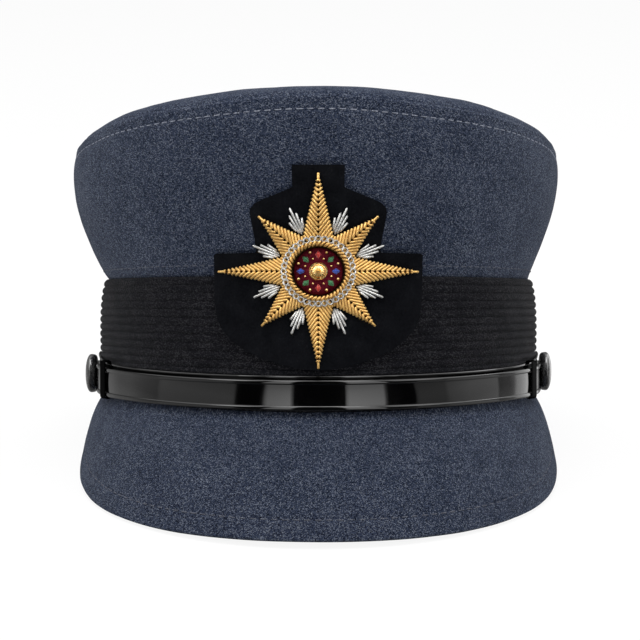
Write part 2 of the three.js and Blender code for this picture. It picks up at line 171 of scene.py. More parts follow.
# %% Modifiers, smooth shading and the last step
def give(piece, kind, **settings):
    """Adds a modifier with its settings and applies it at once."""
    choose(piece)
    modifier = piece.modifiers.new(kind.title(), kind)
    for name, value in settings.items():
        setattr(modifier, name, value)
    bpy.ops.object.modifier_apply(modifier=modifier.name)


def smooth(piece, angle):
    """Shades the piece smooth, apart from edges sharper than the angle in degrees."""
    choose(piece)
    bpy.ops.object.shade_smooth_by_angle(angle=math.radians(angle))


def finish_piece(piece, name, slot, material, *nodes):
    """Stands an upright piece on the table, names it, paints it, hangs it on the root body and hides its
    solids.
    """
    piece.name = name
    piece.data.name = name
    piece.data.transform(STAND @ piece.matrix_world)
    piece.matrix_world = Matrix.Identity(4)
    piece.data.materials.clear()
    piece.data.materials.append(material)
    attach(piece, "root")
    if nodes:
        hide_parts(*nodes)
    print(name, "has", len(piece.data.polygons), "faces")


print("each piece rides on the root body")

# %% [markdown]
# ## Walking round the oval
# Pieces that follow the hat's side need a point at any angle from the front. The helpers give
# the outward direction there, a point that stands out from the oval at a height, and the angle
# of a place. The same numbers made the solids, so the finer pieces lie exactly over them.


# %% Points on the oval
def oval_normal(angle):
    return Vector((math.sin(angle) / HALF_WIDTH, -math.cos(angle) / HALF_LENGTH, 0)).normalized()


def oval_point(angle, out, height):
    flat = Vector((HALF_WIDTH * math.sin(angle), -HALF_LENGTH * math.cos(angle), height))
    return (flat + oval_normal(angle) * out) * MM


def angle_of(spot):
    """The angle from the front of a place on an upright piece."""
    return math.atan2(spot.x / HALF_WIDTH, -spot.y / HALF_LENGTH)


print("the oval is", round(2 * oval_point(math.pi / 2, 0, 0).x / MM), "mm wide")

# %% [markdown]
# ## Cloth that follows a surface
# Yarns run round the hat and up it, so cloth needs a map of its own. An unwrap would stretch it
# here and there, so it is measured instead, in metres: along the oval one way and up the wall
# the other way, which keeps the weave the same size everywhere.

# %% A map in metres for walls
MEAN_RADIUS = (HALF_WIDTH + HALF_LENGTH) / 2


def cloth_layer(mesh):
    """The map that the cloth and wire materials read by its name."""
    layer = mesh.uv_layers.active or mesh.uv_layers.new(name="Cloth")
    layer.name = "Cloth"
    return layer


def wrap_map(piece):
    """Unrolls an upright wall: u goes round from the rear, v goes up."""
    mesh = piece.data
    layer = cloth_layer(mesh)
    for face in mesh.polygons:
        turns = [angle_of(mesh.vertices[i].co) for i in face.vertices]
        crosses = max(turns) - min(turns) > math.pi
        for loop, turn in zip(face.loop_indices, turns):
            if crosses and turn < 0:
                turn += 2 * math.pi
            height = mesh.vertices[mesh.loops[loop].vertex_index].co.z
            layer.data[loop].uv = (turn * MEAN_RADIUS * MM, height)


print("the map is", round(2 * math.pi * MEAN_RADIUS), "mm round")

# %% [markdown]
# ## Wiring a material
# Every finish here is a small tree of nodes. These helpers add a node, set its unlinked inputs
# and join it to the next, so that each material below reads as a list of steps.


# %% Nodes and wires
def add_node(tree, kind, values=None, **settings):
    """A node with its settings and its unlinked input values."""
    node = tree.nodes.new("ShaderNode" + kind)
    for name, value in settings.items():
        setattr(node, name, value)
    for name, value in (values or {}).items():
        node.inputs[name].default_value = value
    return node


def wire(tree, *pairs):
    for start, end in pairs:
        tree.links.new(start, end)


def calculate(tree, operation, first, second=None, third=None):
    """One step of arithmetic; each value is a number or another node's output."""
    node = add_node(tree, "Math", operation=operation)
    for socket, value in zip(node.inputs, (first, second, third)):
        if value is None:
            continue
        if isinstance(value, (int, float)):
            socket.default_value = value
        else:
            tree.links.new(value, socket)
    return node.outputs[0]


def blend_colours(tree, share, first, second, kind="MIX"):
    """Mixes two colours; share, first and second are values or outputs."""
    node = add_node(tree, "Mix", data_type="RGBA", blend_type=kind)
    for socket, value in ((node.inputs[0], share), (node.inputs[6], first), (node.inputs[7], second)):
        if isinstance(value, (int, float, tuple)):
            socket.default_value = value
        else:
            tree.links.new(value, socket)
    return node.outputs[2]


print("helpers for nodes are ready")

# %% [markdown]
# A ramp turns a mask into tones, and a bump turns a height into a lit surface. The plain values of
# a finish are set on the sockets of the material's own shader.


# %% Ramps, materials and bumps
def ramp(tree, factor, stops):
    """A colour ramp; a stop is its place and its colour or grey."""
    node = add_node(tree, "ValToRGB")
    bar = node.color_ramp
    while len(bar.elements) < len(stops):
        bar.elements.new(0.5)
    for element, (place, tone) in zip(bar.elements, stops):
        element.position = place
        element.color = tone if isinstance(tone, tuple) else (tone, tone, tone, 1)
    tree.links.new(factor, node.inputs[0])
    return node.outputs[0]


def new_material(name, colour, **values):
    """A material, its shader with plain values set on its own sockets, and its node tree."""
    material = bpy.data.materials.new(name)
    material.use_nodes = True
    material.diffuse_color = colour
    tree = material.node_tree
    shader = tree.nodes["Principled BSDF"]
    shader.inputs["Base Color"].default_value = colour
    for label, value in values.items():
        shader.inputs[label.replace("_", " ").title().replace("Ior", "IOR")].default_value = value
    return material, tree, shader


def bump(tree, height, strength, distance, shader, normal=None):
    """Feeds a height into the shader's normal; distance is in metres."""
    node = add_node(tree, "Bump", {"Strength": strength, "Distance": distance})
    wire(tree, (height, node.inputs["Height"]), (node.outputs[0], shader.inputs["Normal"]))
    if normal is not None:
        wire(tree, (normal, node.inputs["Normal"]))


def placed(tree, source, scale, turn=0.0):
    """Coordinates stretched and turned by a Mapping node."""
    node = add_node(tree, "Mapping", {"Scale": scale, "Rotation": (0, 0, turn)})
    wire(tree, (source, node.inputs["Vector"]))
    return node.outputs[0]


print("helpers for materials are ready")

# %% [markdown]
# ## Wool
# The crown and the peak are a milled blue-grey wool in mixed yarns: navy, slate and pale fibres
# lie side by side, so it looks speckled from near and blue-grey from afar. A shader group gives
# that colour from three tones and a height for the weave, and every wool piece uses it with its
# own values. The speckles are cells, each with one random tone, long one way like short fibres.


# %% The group for mixed wool yarns
def new_group(name, inputs, outputs):
    """A shader group with named sockets. Each input row is name, kind and default."""
    group = bpy.data.node_groups.new(name, "ShaderNodeTree")
    for label, kind, value in inputs:
        socket = group.interface.new_socket(label, in_out="INPUT", socket_type=kind)
        if value is not None:
            socket.default_value = value
    for label, kind in outputs:
        group.interface.new_socket(label, in_out="OUTPUT", socket_type=kind)
    return group, group.nodes.new("NodeGroupInput"), group.nodes.new("NodeGroupOutput")


def make_melange_group():
    """Speckled wool: three tones, and a height for the weave and the lie of the fibres."""
    group, inside, outside = new_group(
        "MixedWool",
        [
            ("Vector", "NodeSocketVector", None),
            ("Dark", "NodeSocketColor", (0.02, 0.025, 0.04, 1)),
            ("Middle", "NodeSocketColor", (0.04, 0.05, 0.08, 1)),
            ("Pale", "NodeSocketColor", (0.12, 0.13, 0.15, 1)),
        ],
        [("Color", "NodeSocketColor"), ("Height", "NodeSocketFloat")],
    )
    spot = inside.outputs["Vector"]
    heights = []
    speckles = []
    for turn, scale in ((0.35, (2800, 3800, 2800)), (-1.1, (3200, 4400, 3200))):
        lie = placed(group, spot, scale, turn)
        cells = add_node(group, "TexVoronoi", {"Scale": 1.0}, voronoi_dimensions="2D")
        wire(group, (lie, cells.inputs["Vector"]))
        parts = add_node(group, "SeparateColor")
        wire(group, (cells.outputs["Color"], parts.inputs[0]))
        speckles.append(parts.outputs[0])
        heights.append(cells.outputs["Distance"])
    finer = calculate(group, "MULTIPLY", speckles[1], 0.25)
    chance = calculate(group, "MULTIPLY_ADD", speckles[0], 0.75, finer)
    cloud = add_node(group, "TexNoise", {"Scale": 55.0, "Detail": 3.0, "Roughness": 0.55})
    wire(group, (spot, cloud.inputs["Vector"]))
    patchy = calculate(group, "SUBTRACT", cloud.outputs[0], 0.5)
    shade = calculate(group, "MULTIPLY_ADD", patchy, 0.28, chance)
    dark_share = ramp(group, shade, ((0.2, 1.0), (0.42, 0.0)))
    pale_share = ramp(group, shade, ((0.68, 0.0), (0.82, 1.0)))
    base = blend_colours(group, dark_share, inside.outputs["Middle"], inside.outputs["Dark"])
    wire(group, (blend_colours(group, pale_share, base, inside.outputs["Pale"]), outside.inputs["Color"]))
    twill = {"Scale": 420.0, "Distortion": 1.5, "Detail": 1.0}
    warp = add_node(group, "TexWave", twill, bands_direction="DIAGONAL")
    wire(group, (spot, warp.inputs["Vector"]))
    fibres = calculate(group, "ADD", heights[0], heights[1])
    height = calculate(group, "MULTIPLY_ADD", warp.outputs[0], 0.35, fibres)
    wire(group, (height, outside.inputs["Height"]))
    return group


melange_group = make_melange_group()
print("nodes in the wool group:", len(melange_group.nodes))

# %% [markdown]
# The crown and the peak are cut from one cloth. The peak faces the lamps more squarely, so its
# tones are a little deeper, and the two then look alike.


# %% The wool itself
def make_wool(name, dark, middle, pale):
    """Wool cloth on the piece's own map; the sheen is the soft light edge of a milled cloth."""
    material, tree, shader = new_material(
        name, middle, roughness=0.95, sheen_weight=0.1, sheen_roughness=0.4, specular_ior_level=0.06
    )
    shader.inputs["Sheen Tint"].default_value = (0.62, 0.68, 0.8, 1)
    where = add_node(tree, "UVMap", uv_map="Cloth")
    wool = add_node(tree, "Group", node_tree=melange_group)
    for label, tone in (("Dark", dark), ("Middle", middle), ("Pale", pale)):
        wool.inputs[label].default_value = tone
    wire(
        tree,
        (where.outputs[0], wool.inputs["Vector"]),
        (wool.outputs["Color"], shader.inputs["Base Color"]),
    )
    bump(tree, wool.outputs["Height"], 0.55, 0.25 * MM, shader)
    return material


NAVY = (0.004, 0.006, 0.013, 1)
SLATE = (0.026, 0.0347, 0.06, 1)
PALE = (0.115, 0.129, 0.164, 1)
DEEP_NAVY = (0.0036, 0.0054, 0.0118, 1)
DEEP_SLATE = (0.0243, 0.0322, 0.056, 1)
DEEP_PALE = (0.108, 0.122, 0.156, 1)
wool = make_wool("Wool", NAVY, SLATE, PALE)
peak_wool = make_wool("PeakWool", DEEP_NAVY, DEEP_SLATE, DEEP_PALE)
print("materials:", wool.name, peak_wool.name)

# %% [markdown]
# ## The crown's wall
# The wall of the crown flares out over the band and turns in again under the top. It could be
# cut flat and wrapped, but a stack of ovals is quicker and leans with the top: each ring is a
# little more tilted than the one below it, because the crown is high in front and low behind.
# Near the rim the rows lie close together, so that the groove of the stitches and the swell of
# the turned edge above it are real shape.

# %% The wall's curve
GAP = 0.3  # between neighbouring solids
RIM_HEIGHT = 96.6  # of the seam between wall and top, in the middle
RIM_SLOPE = 0.134  # its fall from front to rear
WALL_HEIGHT = RIM_HEIGHT - BAND_HEIGHT - GAP
CROWN_TUCK = -3.1  # where the wall starts, behind the braid
CROWN_FLARE = 12.6
CROWN_FULLEST = 0.87  # share of the height where it is widest
CROWN_FULLNESS = 0.95
CROWN_SHOULDER = 1.8  # how far it turns in under the top
SHOULDER_TURN = 18  # the higher, the more sudden the turn
SEAM_TO_STITCH = 4.0
FOOT_TO_STITCH = 2.9
EDGE_TO_SWELL = 0.75
EDGE_SWELL = 0.6


def crown_out(share):
    """How far the wall stands out from the oval, from its foot (0) to the rim (1)."""
    swell = math.sin(math.pi / 2 * (share / CROWN_FULLEST) ** CROWN_FULLNESS)
    return CROWN_TUCK + CROWN_FLARE * swell - CROWN_SHOULDER * share**SHOULDER_TURN


def dip(distance, middle, width, depth):
    """A smooth groove across a row of distances."""
    return -depth * math.exp(-(((distance - middle) / width) ** 2))


def turned_edge(from_rim):
    """The cloth turned in at the seam swells: steep towards the top, soft towards the stitches."""
    width = 0.45 if from_rim < EDGE_TO_SWELL else 1.3
    return -dip(from_rim, EDGE_TO_SWELL, width, EDGE_SWELL)


def wall_row(share):
    from_rim = (1 - share) * WALL_HEIGHT
    from_foot = share * WALL_HEIGHT
    rim_groove = dip(from_rim, SEAM_TO_STITCH, 0.55, 0.25)
    foot_groove = dip(from_foot, FOOT_TO_STITCH, 0.5, 0.12)
    out = crown_out(share) + rim_groove + foot_groove + turned_edge(from_rim)
    return oval_row(out, BAND_HEIGHT + GAP + from_foot, RIM_SLOPE * share)


print("the wall is widest at", round(CROWN_FULLEST * WALL_HEIGHT, 1), "mm above the band")

# %% [markdown]
# Below the braid's top edge the same cloth runs on as the hat's base. The upper edge is tucked
# into the top's cloth, as in a sewn seam, so that no light comes through.

# %% Stacking the wall
COARSE_ROWS = 24
FINE_ROWS = 24
FINE_FROM = 0.86  # share of the height where the fine rows start
BASE_OUTSIDE = -3.3
BASE_ROWS = 4
TUCK_IN = 0.3
TUCK_UP = 0.7

shares = [FINE_FROM * i / COARSE_ROWS for i in range(COARSE_ROWS)]
shares += [FINE_FROM + (1 - FINE_FROM) * i / FINE_ROWS for i in range(FINE_ROWS + 1)]
wall_rows = [wall_row(share) for share in shares]
rim_wide, rim_long, rim_level, rim_tilt = wall_rows[-1]
wall_rows.append((rim_wide - TUCK_IN, rim_long - TUCK_IN, rim_level + TUCK_UP, rim_tilt))
base_rows = [oval_row(BASE_OUTSIDE, (BAND_HEIGHT - GAP) * i / BASE_ROWS) for i in range(BASE_ROWS + 1)]
crown_wall = stack_rings(base_rows + wall_rows)
print("wall rows:", len(wall_rows))

# %% [markdown]
# Three things take the wall away from a plain stack. Its lower edge arches up over the ears: a
# vertex group holds how much of the arch each place takes, and a Displace modifier along Z lifts
# it. The whole crown leans a little to one side, as a worn one does. And the rim rises in the
# middle of the front.

# %% Arch, lean and rise
CROWN_SWAY = 1.2
SWAY_TURN = 0.88
FRONT_RISE = 1.3
RISE_REACH = math.radians(30)


def lift_by_arch(piece):
    """Raises the lower rows over the ears; the share fades to nothing at the band's top."""
    lift = piece.vertex_groups.new(name="Arch")
    for vertex in piece.data.vertices:
        share = 1 - min(max(vertex.co.z / MM / BAND_HEIGHT, 0), 1)
        lift.add([vertex.index], share * math.sin(angle_of(vertex.co)) ** 2, "REPLACE")
    settings = {"direction": "Z", "mid_level": 0.0, "vertex_group": "Arch"}
    give(piece, "DISPLACE", strength=BOTTOM_RISE * MM, **settings)


def wall_share(spot):
    """How far up the wall a place is, from its foot (0) to the rim (1)."""
    rim_here = WALL_HEIGHT - RIM_SLOPE * spot.y / MM
    return min(max((spot.z / MM - BAND_HEIGHT - GAP) / rim_here, 0), 1)


def crown_sway(share):
    """How far the crown leans to the side; its fullest part leans the most."""
    return -CROWN_SWAY * math.sqrt(math.sin(math.pi * share * SWAY_TURN))


def front_rise(angle, share):
    """The rim rises a little more in the middle of the front; share is 1 at the rim."""
    away = min(abs(angle) / RISE_REACH, 1)
    return FRONT_RISE * math.cos(math.pi / 2 * away) ** 2 * share**3


def raise_front(piece, share_of):
    """Lifts the rim's front; share_of says how near a vertex is to the rim."""
    for vertex in piece.data.vertices:
        vertex.co.z += front_rise(angle_of(vertex.co), share_of(vertex.co)) * MM


lift_by_arch(crown_wall)
for vertex in crown_wall.data.vertices:
    vertex.co.x += crown_sway(wall_share(vertex.co)) * MM
raise_front(crown_wall, wall_share)
print("the crown leans", CROWN_SWAY, "mm and rises", FRONT_RISE, "mm in front")

# %% [markdown]
# Solidify gives the cloth its thickness. A real wall is never dead even, so a Displace modifier
# with a soft cloud pushes it in and out by about half a millimetre, which is enough to break up
# the light on the cloth.

# %% Thickness and a hand made unevenness
CLOTH = 2.0
CROWN_CLOUD = (26, 1.1)  # size and strength


def make_uneven(piece, size, strength):
    """Pushes the surface in and out by a soft cloud; size and strength are in millimetres."""
    cloud = bpy.data.textures.new("SoftCloud", "CLOUDS")
    cloud.noise_scale = size * MM
    cloud.noise_depth = 2
    give(piece, "DISPLACE", texture=cloud, strength=strength * MM, mid_level=0.5, texture_coords="LOCAL")


give(crown_wall, "SOLIDIFY", thickness=CLOTH * MM, offset=-1.0, use_rim=True)
make_uneven(crown_wall, *CROWN_CLOUD)
wrap_map(crown_wall)
smooth(crown_wall, 50)
finish_piece(crown_wall, "crown_wall_cloth", "cloth", wool, "crown_side_front", "crown_side_rear")

# %% [markdown]
# ## The crown's top
# The top is one oval of the same cloth, stretched taut and sewn to the wall's upper edge. It is a
# shallow dome that leans forwards and up. A flattened sphere would pinch at the rim, so rings are
# drawn in from the seam towards the middle instead, and the last small ring is merged to a point.

# %% Rings of the top
RIM_LEDGE = 0.03
ROLL_START = math.radians(84)
ROLL_END = 0.026
DOME = 14.6
DOME_FULLNESS = 0.93
TOP_ROWS = 40


def top_row(turn):
    """A ring of the dome, from the seam, where the wall already leans in, to the middle."""
    reach = math.sin(turn) / math.sin(ROLL_START)
    out = crown_out(1) + RIM_LEDGE
    start = math.cos(ROLL_START)
    height = RIM_HEIGHT + DOME * ((math.cos(turn) - start) / (1 - start)) ** DOME_FULLNESS
    return ((HALF_WIDTH + out) * reach, (HALF_LENGTH + out) * reach, height, -math.atan(RIM_SLOPE))


def close_end(piece, at_height):
    """Draws the small ring of vertices about a height together into one point."""
    edit(piece)
    close_edit()  # nothing in the piece is selected now
    for vertex in piece.data.vertices:
        near = abs(vertex.co.z - at_height * MM) < 2 * MM
        vertex.select = near and vertex.co.xy.length < 5 * MM
    bpy.ops.object.mode_set(mode="EDIT")
    bpy.ops.mesh.merge(type="CENTER")
    close_edit()


turns = [ROLL_START - (ROLL_START - ROLL_END) * (i / TOP_ROWS) ** 1.15 for i in range(TOP_ROWS + 1)]
crown_top = stack_rings([top_row(turn) for turn in turns])
close_end(crown_top, RIM_HEIGHT + DOME)
print("the top rises", DOME, "mm over the seam")

# %% [markdown]
# The top follows the wall: it takes the same rise in front, the same lean at the rim and the same
# soft cloud, so that the seam closes all round. Its map looks straight down on it.

# %% Fitting the top to the wall
TOP_SWAY = 1.2


def rim_share(spot):
    """How far out a place on the top is, from the middle (0) to the rim (1)."""
    reach = (HALF_WIDTH + crown_out(1)) * MM
    return min(math.hypot(spot.x, spot.y * HALF_WIDTH / HALF_LENGTH) / reach, 1)


def near_rim(spot):
    """Fades fast from the rim inwards."""
    return rim_share(spot) ** 4


def top_sway(spot):
    """The top leans with the rim, and the other way in its middle."""
    share = near_rim(spot)
    return crown_sway(1) * share + TOP_SWAY * (1 - share)


def face_up(piece):
    """Turns a sheet over if its faces look down into the hat."""
    if sum(face.normal.z * face.area for face in piece.data.polygons) < 0:
        edit(piece)
        bpy.ops.mesh.select_all(action="SELECT")
        bpy.ops.mesh.flip_normals()
        close_edit()


def flat_map(piece):
    """Looks straight down on the piece: its own X and Y become the map."""
    mesh = piece.data
    layer = cloth_layer(mesh)
    for loop in mesh.loops:
        layer.data[loop.index].uv = mesh.vertices[loop.vertex_index].co.xy


raise_front(crown_top, near_rim)
for vertex in crown_top.data.vertices:
    vertex.co.x += top_sway(vertex.co) * MM
face_up(crown_top)
give(crown_top, "SOLIDIFY", thickness=CLOTH * MM, offset=-1.0, use_rim=True)
make_uneven(crown_top, *CROWN_CLOUD)
flat_map(crown_top)
smooth(crown_top, 50)
finish_piece(crown_top, "crown_top_cloth", "cloth", wool, "crown_top")

# %% [markdown]
# ## The braid band
# The band is wound with black mohair braid, woven in level ribs. A bump would do from the front,
# but the ribs are the outline of the band from any side, so they are modelled: six rings to a
# rib follow its round back. The lower edge then takes the same arch over the ears as the wall.

# %% Rings of the band
BAND_FULLEST = 30.0  # height of the widest level
BAND_BARREL = 1.0  # how far the lower edge draws in
BAND_SHOULDER = 1.6  # how far the top edge rolls in
RIB_COUNT = 16
RIB_RELIEF = 0.35
RIB_STEPS = 6
BAND_THICKNESS = 2.6
TOP_TURN = 1.2  # how far the braid turns in over its top edge
FOOT_TURN = 0.6


def band_out(height):
    """How far the middle of the ribs stands out from the oval at a height."""
    barrel = -BAND_BARREL * ((height - BAND_FULLEST) / BAND_FULLEST) ** 2
    return barrel - BAND_SHOULDER * (height / BAND_HEIGHT) ** 8


def rib_row(step):
    height = BAND_HEIGHT * step / (RIB_COUNT * RIB_STEPS)
    relief = RIB_RELIEF * (2 * abs(math.sin(math.pi * step / RIB_STEPS)) ** 0.7 - 1)
    return oval_row(band_out(height) + relief, height)


band_rows = [rib_row(step) for step in range(RIB_COUNT * RIB_STEPS + 1)]
foot_edge, top_edge = band_rows[0], band_rows[-1]
band_rows.append((top_edge[0] - TOP_TURN, top_edge[1] - TOP_TURN, BAND_HEIGHT - 0.1, 0))
band_rows.insert(0, (foot_edge[0] - FOOT_TURN, foot_edge[1] - FOOT_TURN, 0.05, 0))
band = stack_rings(band_rows)
lift_by_arch(band)
give(band, "SOLIDIFY", thickness=BAND_THICKNESS * MM, offset=-1.0, use_rim=True)
wrap_map(band)
smooth(band, 60)
print("rows in the band:", len(band_rows))

# %% [markdown]
# Mohair braid is coarse and dull: pale hairs catch the light here and there, and across every
# rib run fine slanted cords. Waves along the band make the cords, and small cells the hairs.


# %% Braid
def make_braid():
    colour = (0.0105, 0.011, 0.0135, 1)
    finish = {"roughness": 0.9, "sheen_weight": 0.05, "sheen_roughness": 0.4, "specular_ior_level": 0.04}
    material, tree, shader = new_material("MohairBraid", colour, **finish)
    where = add_node(tree, "UVMap", uv_map="Cloth").outputs[0]
    slant = {"Scale": 330.0, "Distortion": 3.0, "Detail": 2.0}
    cords = add_node(tree, "TexWave", slant, bands_direction="DIAGONAL")
    wire(tree, (where, cords.inputs["Vector"]))
    hairs = add_node(tree, "TexVoronoi", {"Scale": 1.0}, voronoi_dimensions="2D")
    wire(tree, (placed(tree, where, (2300, 3400, 2300)), hairs.inputs["Vector"]))
    parts = add_node(tree, "SeparateColor")
    wire(tree, (hairs.outputs["Color"], parts.inputs[0]))
    patches = add_node(tree, "TexNoise", {"Scale": 90.0, "Detail": 3.0})
    wire(tree, (where, patches.inputs["Vector"]))
    chance = calculate(tree, "MULTIPLY", parts.outputs[0], 0.75)
    shade = calculate(tree, "MULTIPLY_ADD", patches.outputs[0], 0.5, chance)
    shadow, yarn = (0.003, 0.0032, 0.0042, 1), (0.0055, 0.0058, 0.0078, 1)
    pale_hair = (0.028, 0.0275, 0.0305, 1)
    tones = ramp(tree, shade, ((0.2, shadow), (0.7, yarn), (1.0, pale_hair)))
    wire(tree, (tones, shader.inputs["Base Color"]))
    height = calculate(tree, "MULTIPLY_ADD", cords.outputs[0], 0.6, parts.outputs[0])
    bump(tree, height, 0.5, 0.2 * MM, shader)
    return material


finish_piece(band, "mohair_band", "braid", make_braid(), "band")

# %% [markdown]
# ## The peak
# The peak is a stiff board covered with the same wool. It springs from the band's lower edge,
# falls steeply and fades out at the temples. No primitive has that double curve and no single
# operator gives it, so a flat grid is laid over the form instead, as a cutter lays cloth over a
# block: its columns go round the oval and its rows run down the peak.

# %% The peak's form
PEAK_DEPTH = 50.0
PEAK_VANISH = math.radians(92)  # where its depth would fade to nothing
PEAK_END = math.radians(90)
PEAK_TAPER = 0.735
PEAK_ROUND = 2.1
PEAK_SLOPE_FRONT = math.radians(58)
PEAK_SLOPE_SIDE = math.radians(73)
PEAK_BOW = 2.2
PEAK_BOW_FADE = 0.3
PEAK_ROOT = -0.6  # where it starts, just under the braid


def bottom_height(angle):
    """The band's lower edge arches up a little over the ears."""
    return BOTTOM_RISE * math.sin(angle) ** 2


def peak_depth(angle):
    fade = max(1 - abs(angle / PEAK_VANISH) ** PEAK_ROUND, 0)
    return (PEAK_DEPTH + bottom_height(angle)) * fade**PEAK_TAPER


def peak_point(angle, share, below):
    """A place on the peak: share 0 is at the band and 1 at the edge; below is under the top skin."""
    slope = PEAK_SLOPE_FRONT + (PEAK_SLOPE_SIDE - PEAK_SLOPE_FRONT) * (angle / PEAK_END) ** 2
    normal = oval_normal(angle)
    along = normal * math.cos(slope) - Vector((0, 0, math.sin(slope)))
    upwards = normal * math.sin(slope) + Vector((0, 0, math.cos(slope)))
    level_end = below / math.tan(slope) * (1 - share)
    bow = PEAK_BOW * math.sin(math.pi * share) * max(math.cos(angle), 0) ** PEAK_BOW_FADE
    root = oval_point(angle, PEAK_ROOT, bottom_height(angle) - GAP)
    return root + (along * (peak_depth(angle) * share - level_end) + upwards * (bow - below)) * MM


print("the peak is", PEAK_DEPTH, "mm deep in front")

# %% [markdown]
# Each corner of the grid is laid by a rule. The rows are closer together near the edge, where a
# shallow groove takes the stitches, and the last row by the band is tucked up behind it. Solidify
# and Bevel then give the board's thickness and a turned edge.

# %% Laying cloth on the peak
ROOT_TUCK = 0.45
PEAK_THICKNESS = 2.4
PEAK_STITCH = 7.3  # from the edge to the stitches
PEAK_COLUMNS = 150
PEAK_ROWS = 60
MAP_RADIUS = 110.0  # the peak's middle line, from the hat's axis
MAP_ROOT = 90.0


def lay_grid(columns, rows, place):
    """Adds a flat unit grid and lays its corners by a rule of (across, along), each from 0 to 1."""
    let_go()
    bpy.ops.mesh.primitive_grid_add(x_subdivisions=columns, y_subdivisions=rows, size=1)
    piece = bpy.context.object
    for vertex in piece.data.vertices:
        vertex.co = place(vertex.co.x + 0.5, vertex.co.y + 0.5)
    return piece


def peak_cloth_place(across, along):
    angle = (2 * across - 1) * PEAK_END
    share = 1 - (1 - along) ** 1.25
    from_edge = peak_depth(angle) * (1 - share)
    groove = -dip(from_edge, PEAK_STITCH, 0.6, 0.28)
    tuck = Vector((0, 0, ROOT_TUCK if along < 0.001 else 0.0)) * MM
    return peak_point(angle, share, groove) + tuck


def peak_map(piece):
    """One way round the peak and the other way down it, both in metres."""
    mesh = piece.data
    layer = cloth_layer(mesh)
    for loop in mesh.loops:
        spot = mesh.vertices[loop.vertex_index].co
        run = math.hypot(spot.z, spot.xy.length - MAP_ROOT * MM)
        layer.data[loop.index].uv = (angle_of(spot) * MAP_RADIUS * MM, run)


peak = lay_grid(PEAK_COLUMNS, PEAK_ROWS, peak_cloth_place)
face_up(peak)
give(peak, "SOLIDIFY", thickness=PEAK_THICKNESS * MM, offset=-1.0, use_rim=True)
give(peak, "BEVEL", width=0.8 * MM, segments=3, limit_method="ANGLE", angle_limit=math.radians(50))
make_uneven(peak, 30, 0.5)
peak_map(peak)
smooth(peak, 50)
finish_piece(peak, "peak_cloth", "cloth", peak_wool, "peak")

# %% [markdown]
# Under the board lies a smooth black lining. It is another grid by the same rule, laid a little
# lower. It stops just short of the wool's edge, so that only a hair of black shows along it.

# %% The peak's lining
LINING_START = 0.06  # share of the depth, from the band
LINING_INSET = 0.9
LINING_GAP = 0.25
LINING_THICKNESS = 0.9


def lining_place(across, along):
    angle = (2 * across - 1) * PEAK_END
    from_edge = LINING_INSET / max(peak_depth(angle), 8 * LINING_INSET)
    share = LINING_START + along * (1 - LINING_START - from_edge)
    return peak_point(angle, share, PEAK_THICKNESS + LINING_GAP)


lining_sheet = lay_grid(100, 24, lining_place)
face_up(lining_sheet)
give(lining_sheet, "SOLIDIFY", thickness=LINING_THICKNESS * MM, offset=-1.0, use_rim=True)
give(lining_sheet, "BEVEL", width=0.3 * MM, segments=2, limit_method="ANGLE", angle_limit=math.radians(50))
smooth(lining_sheet, 50)
print("lining faces:", len(lining_sheet.data.polygons))

# %% [markdown]
# The lining is a dull coated cloth with a fine grain, rubbed a little shinier in patches.


# %% Black lining
def make_lining():
    colour = (0.008, 0.008, 0.009, 1)
    material, tree, shader = new_material("BlackLining", colour, roughness=0.42)
    where = add_node(tree, "TexCoord").outputs["Object"]
    grain = add_node(tree, "TexVoronoi", {"Scale": 900.0})
    wire(tree, (where, grain.inputs["Vector"]))
    wear = add_node(tree, "TexNoise", {"Scale": 70.0, "Detail": 4.0})
    wire(tree, (where, wear.inputs["Vector"]))
    stops = ((0.3, (0.006, 0.006, 0.0065, 1)), (0.75, (0.014, 0.0135, 0.014, 1)))
    wire(tree, (ramp(tree, wear.outputs[0], stops), shader.inputs["Base Color"]))
    wire(tree, (ramp(tree, wear.outputs[0], ((0.3, 0.36), (0.8, 0.55))), shader.inputs["Roughness"]))
    bump(tree, grain.outputs["Distance"], 0.35, 0.15 * MM, shader)
    return material


finish_piece(lining_sheet, "peak_lining", "lining", make_lining(), "peak_underside")

# %% [markdown]
# ## The chin strap
# The strap is black patent leather in two layers that lie one over the other across the front.
# A flat strip could be bent round, but its section would twist. So each layer is a closed ring
# with the strap's section, tilted so that it dips in front, and then cut in half by bisect: the
# rear half is cleared, and the cut faces at the buttons are filled.

# %% Cutting a layer from a ring
STRAP_WIDTH = 12.5
STRAP_DIP = 5.4  # how much lower it hangs in front
STRAP_TILT = math.atan(STRAP_DIP / HALF_LENGTH)
STRAP_STAND_OFF = 0.1  # from the band's ribs
STRAP_BACK = band_out(STRAP_SIDE_HEIGHT) + RIB_RELIEF + STRAP_STAND_OFF
STRAP_HALF = STRAP_WIDTH / 2


def strap_row(out, up):
    return (HALF_WIDTH + out, HALF_LENGTH + out, STRAP_SIDE_HEIGHT + up, STRAP_TILT)


def outwards(piece):
    """Turns every face to the outside."""
    edit(piece)
    bpy.ops.mesh.select_all(action="SELECT")
    bpy.ops.mesh.normals_make_consistent(inside=False)
    close_edit()


def strap_layer(rows):
    """Stacks the section into a ring, cuts away the rear half and fills the cut ends."""
    piece = stack_rings(rows, closed=True)
    edit(piece)
    bpy.ops.mesh.select_all(action="SELECT")
    bpy.ops.mesh.bisect(plane_co=(0, 0, 0), plane_no=(0, 1, 0), use_fill=True, clear_outer=True)
    close_edit()
    outwards(piece)
    return piece


print("the strap's back stands out", round(STRAP_BACK, 2), "mm from the oval")

# %% [markdown]
# The layers lie on the ribs, but where a keeper passes behind them they stand off a little more.
# The back layer also climbs towards the buttons, so that its upper edge shows over the front one.

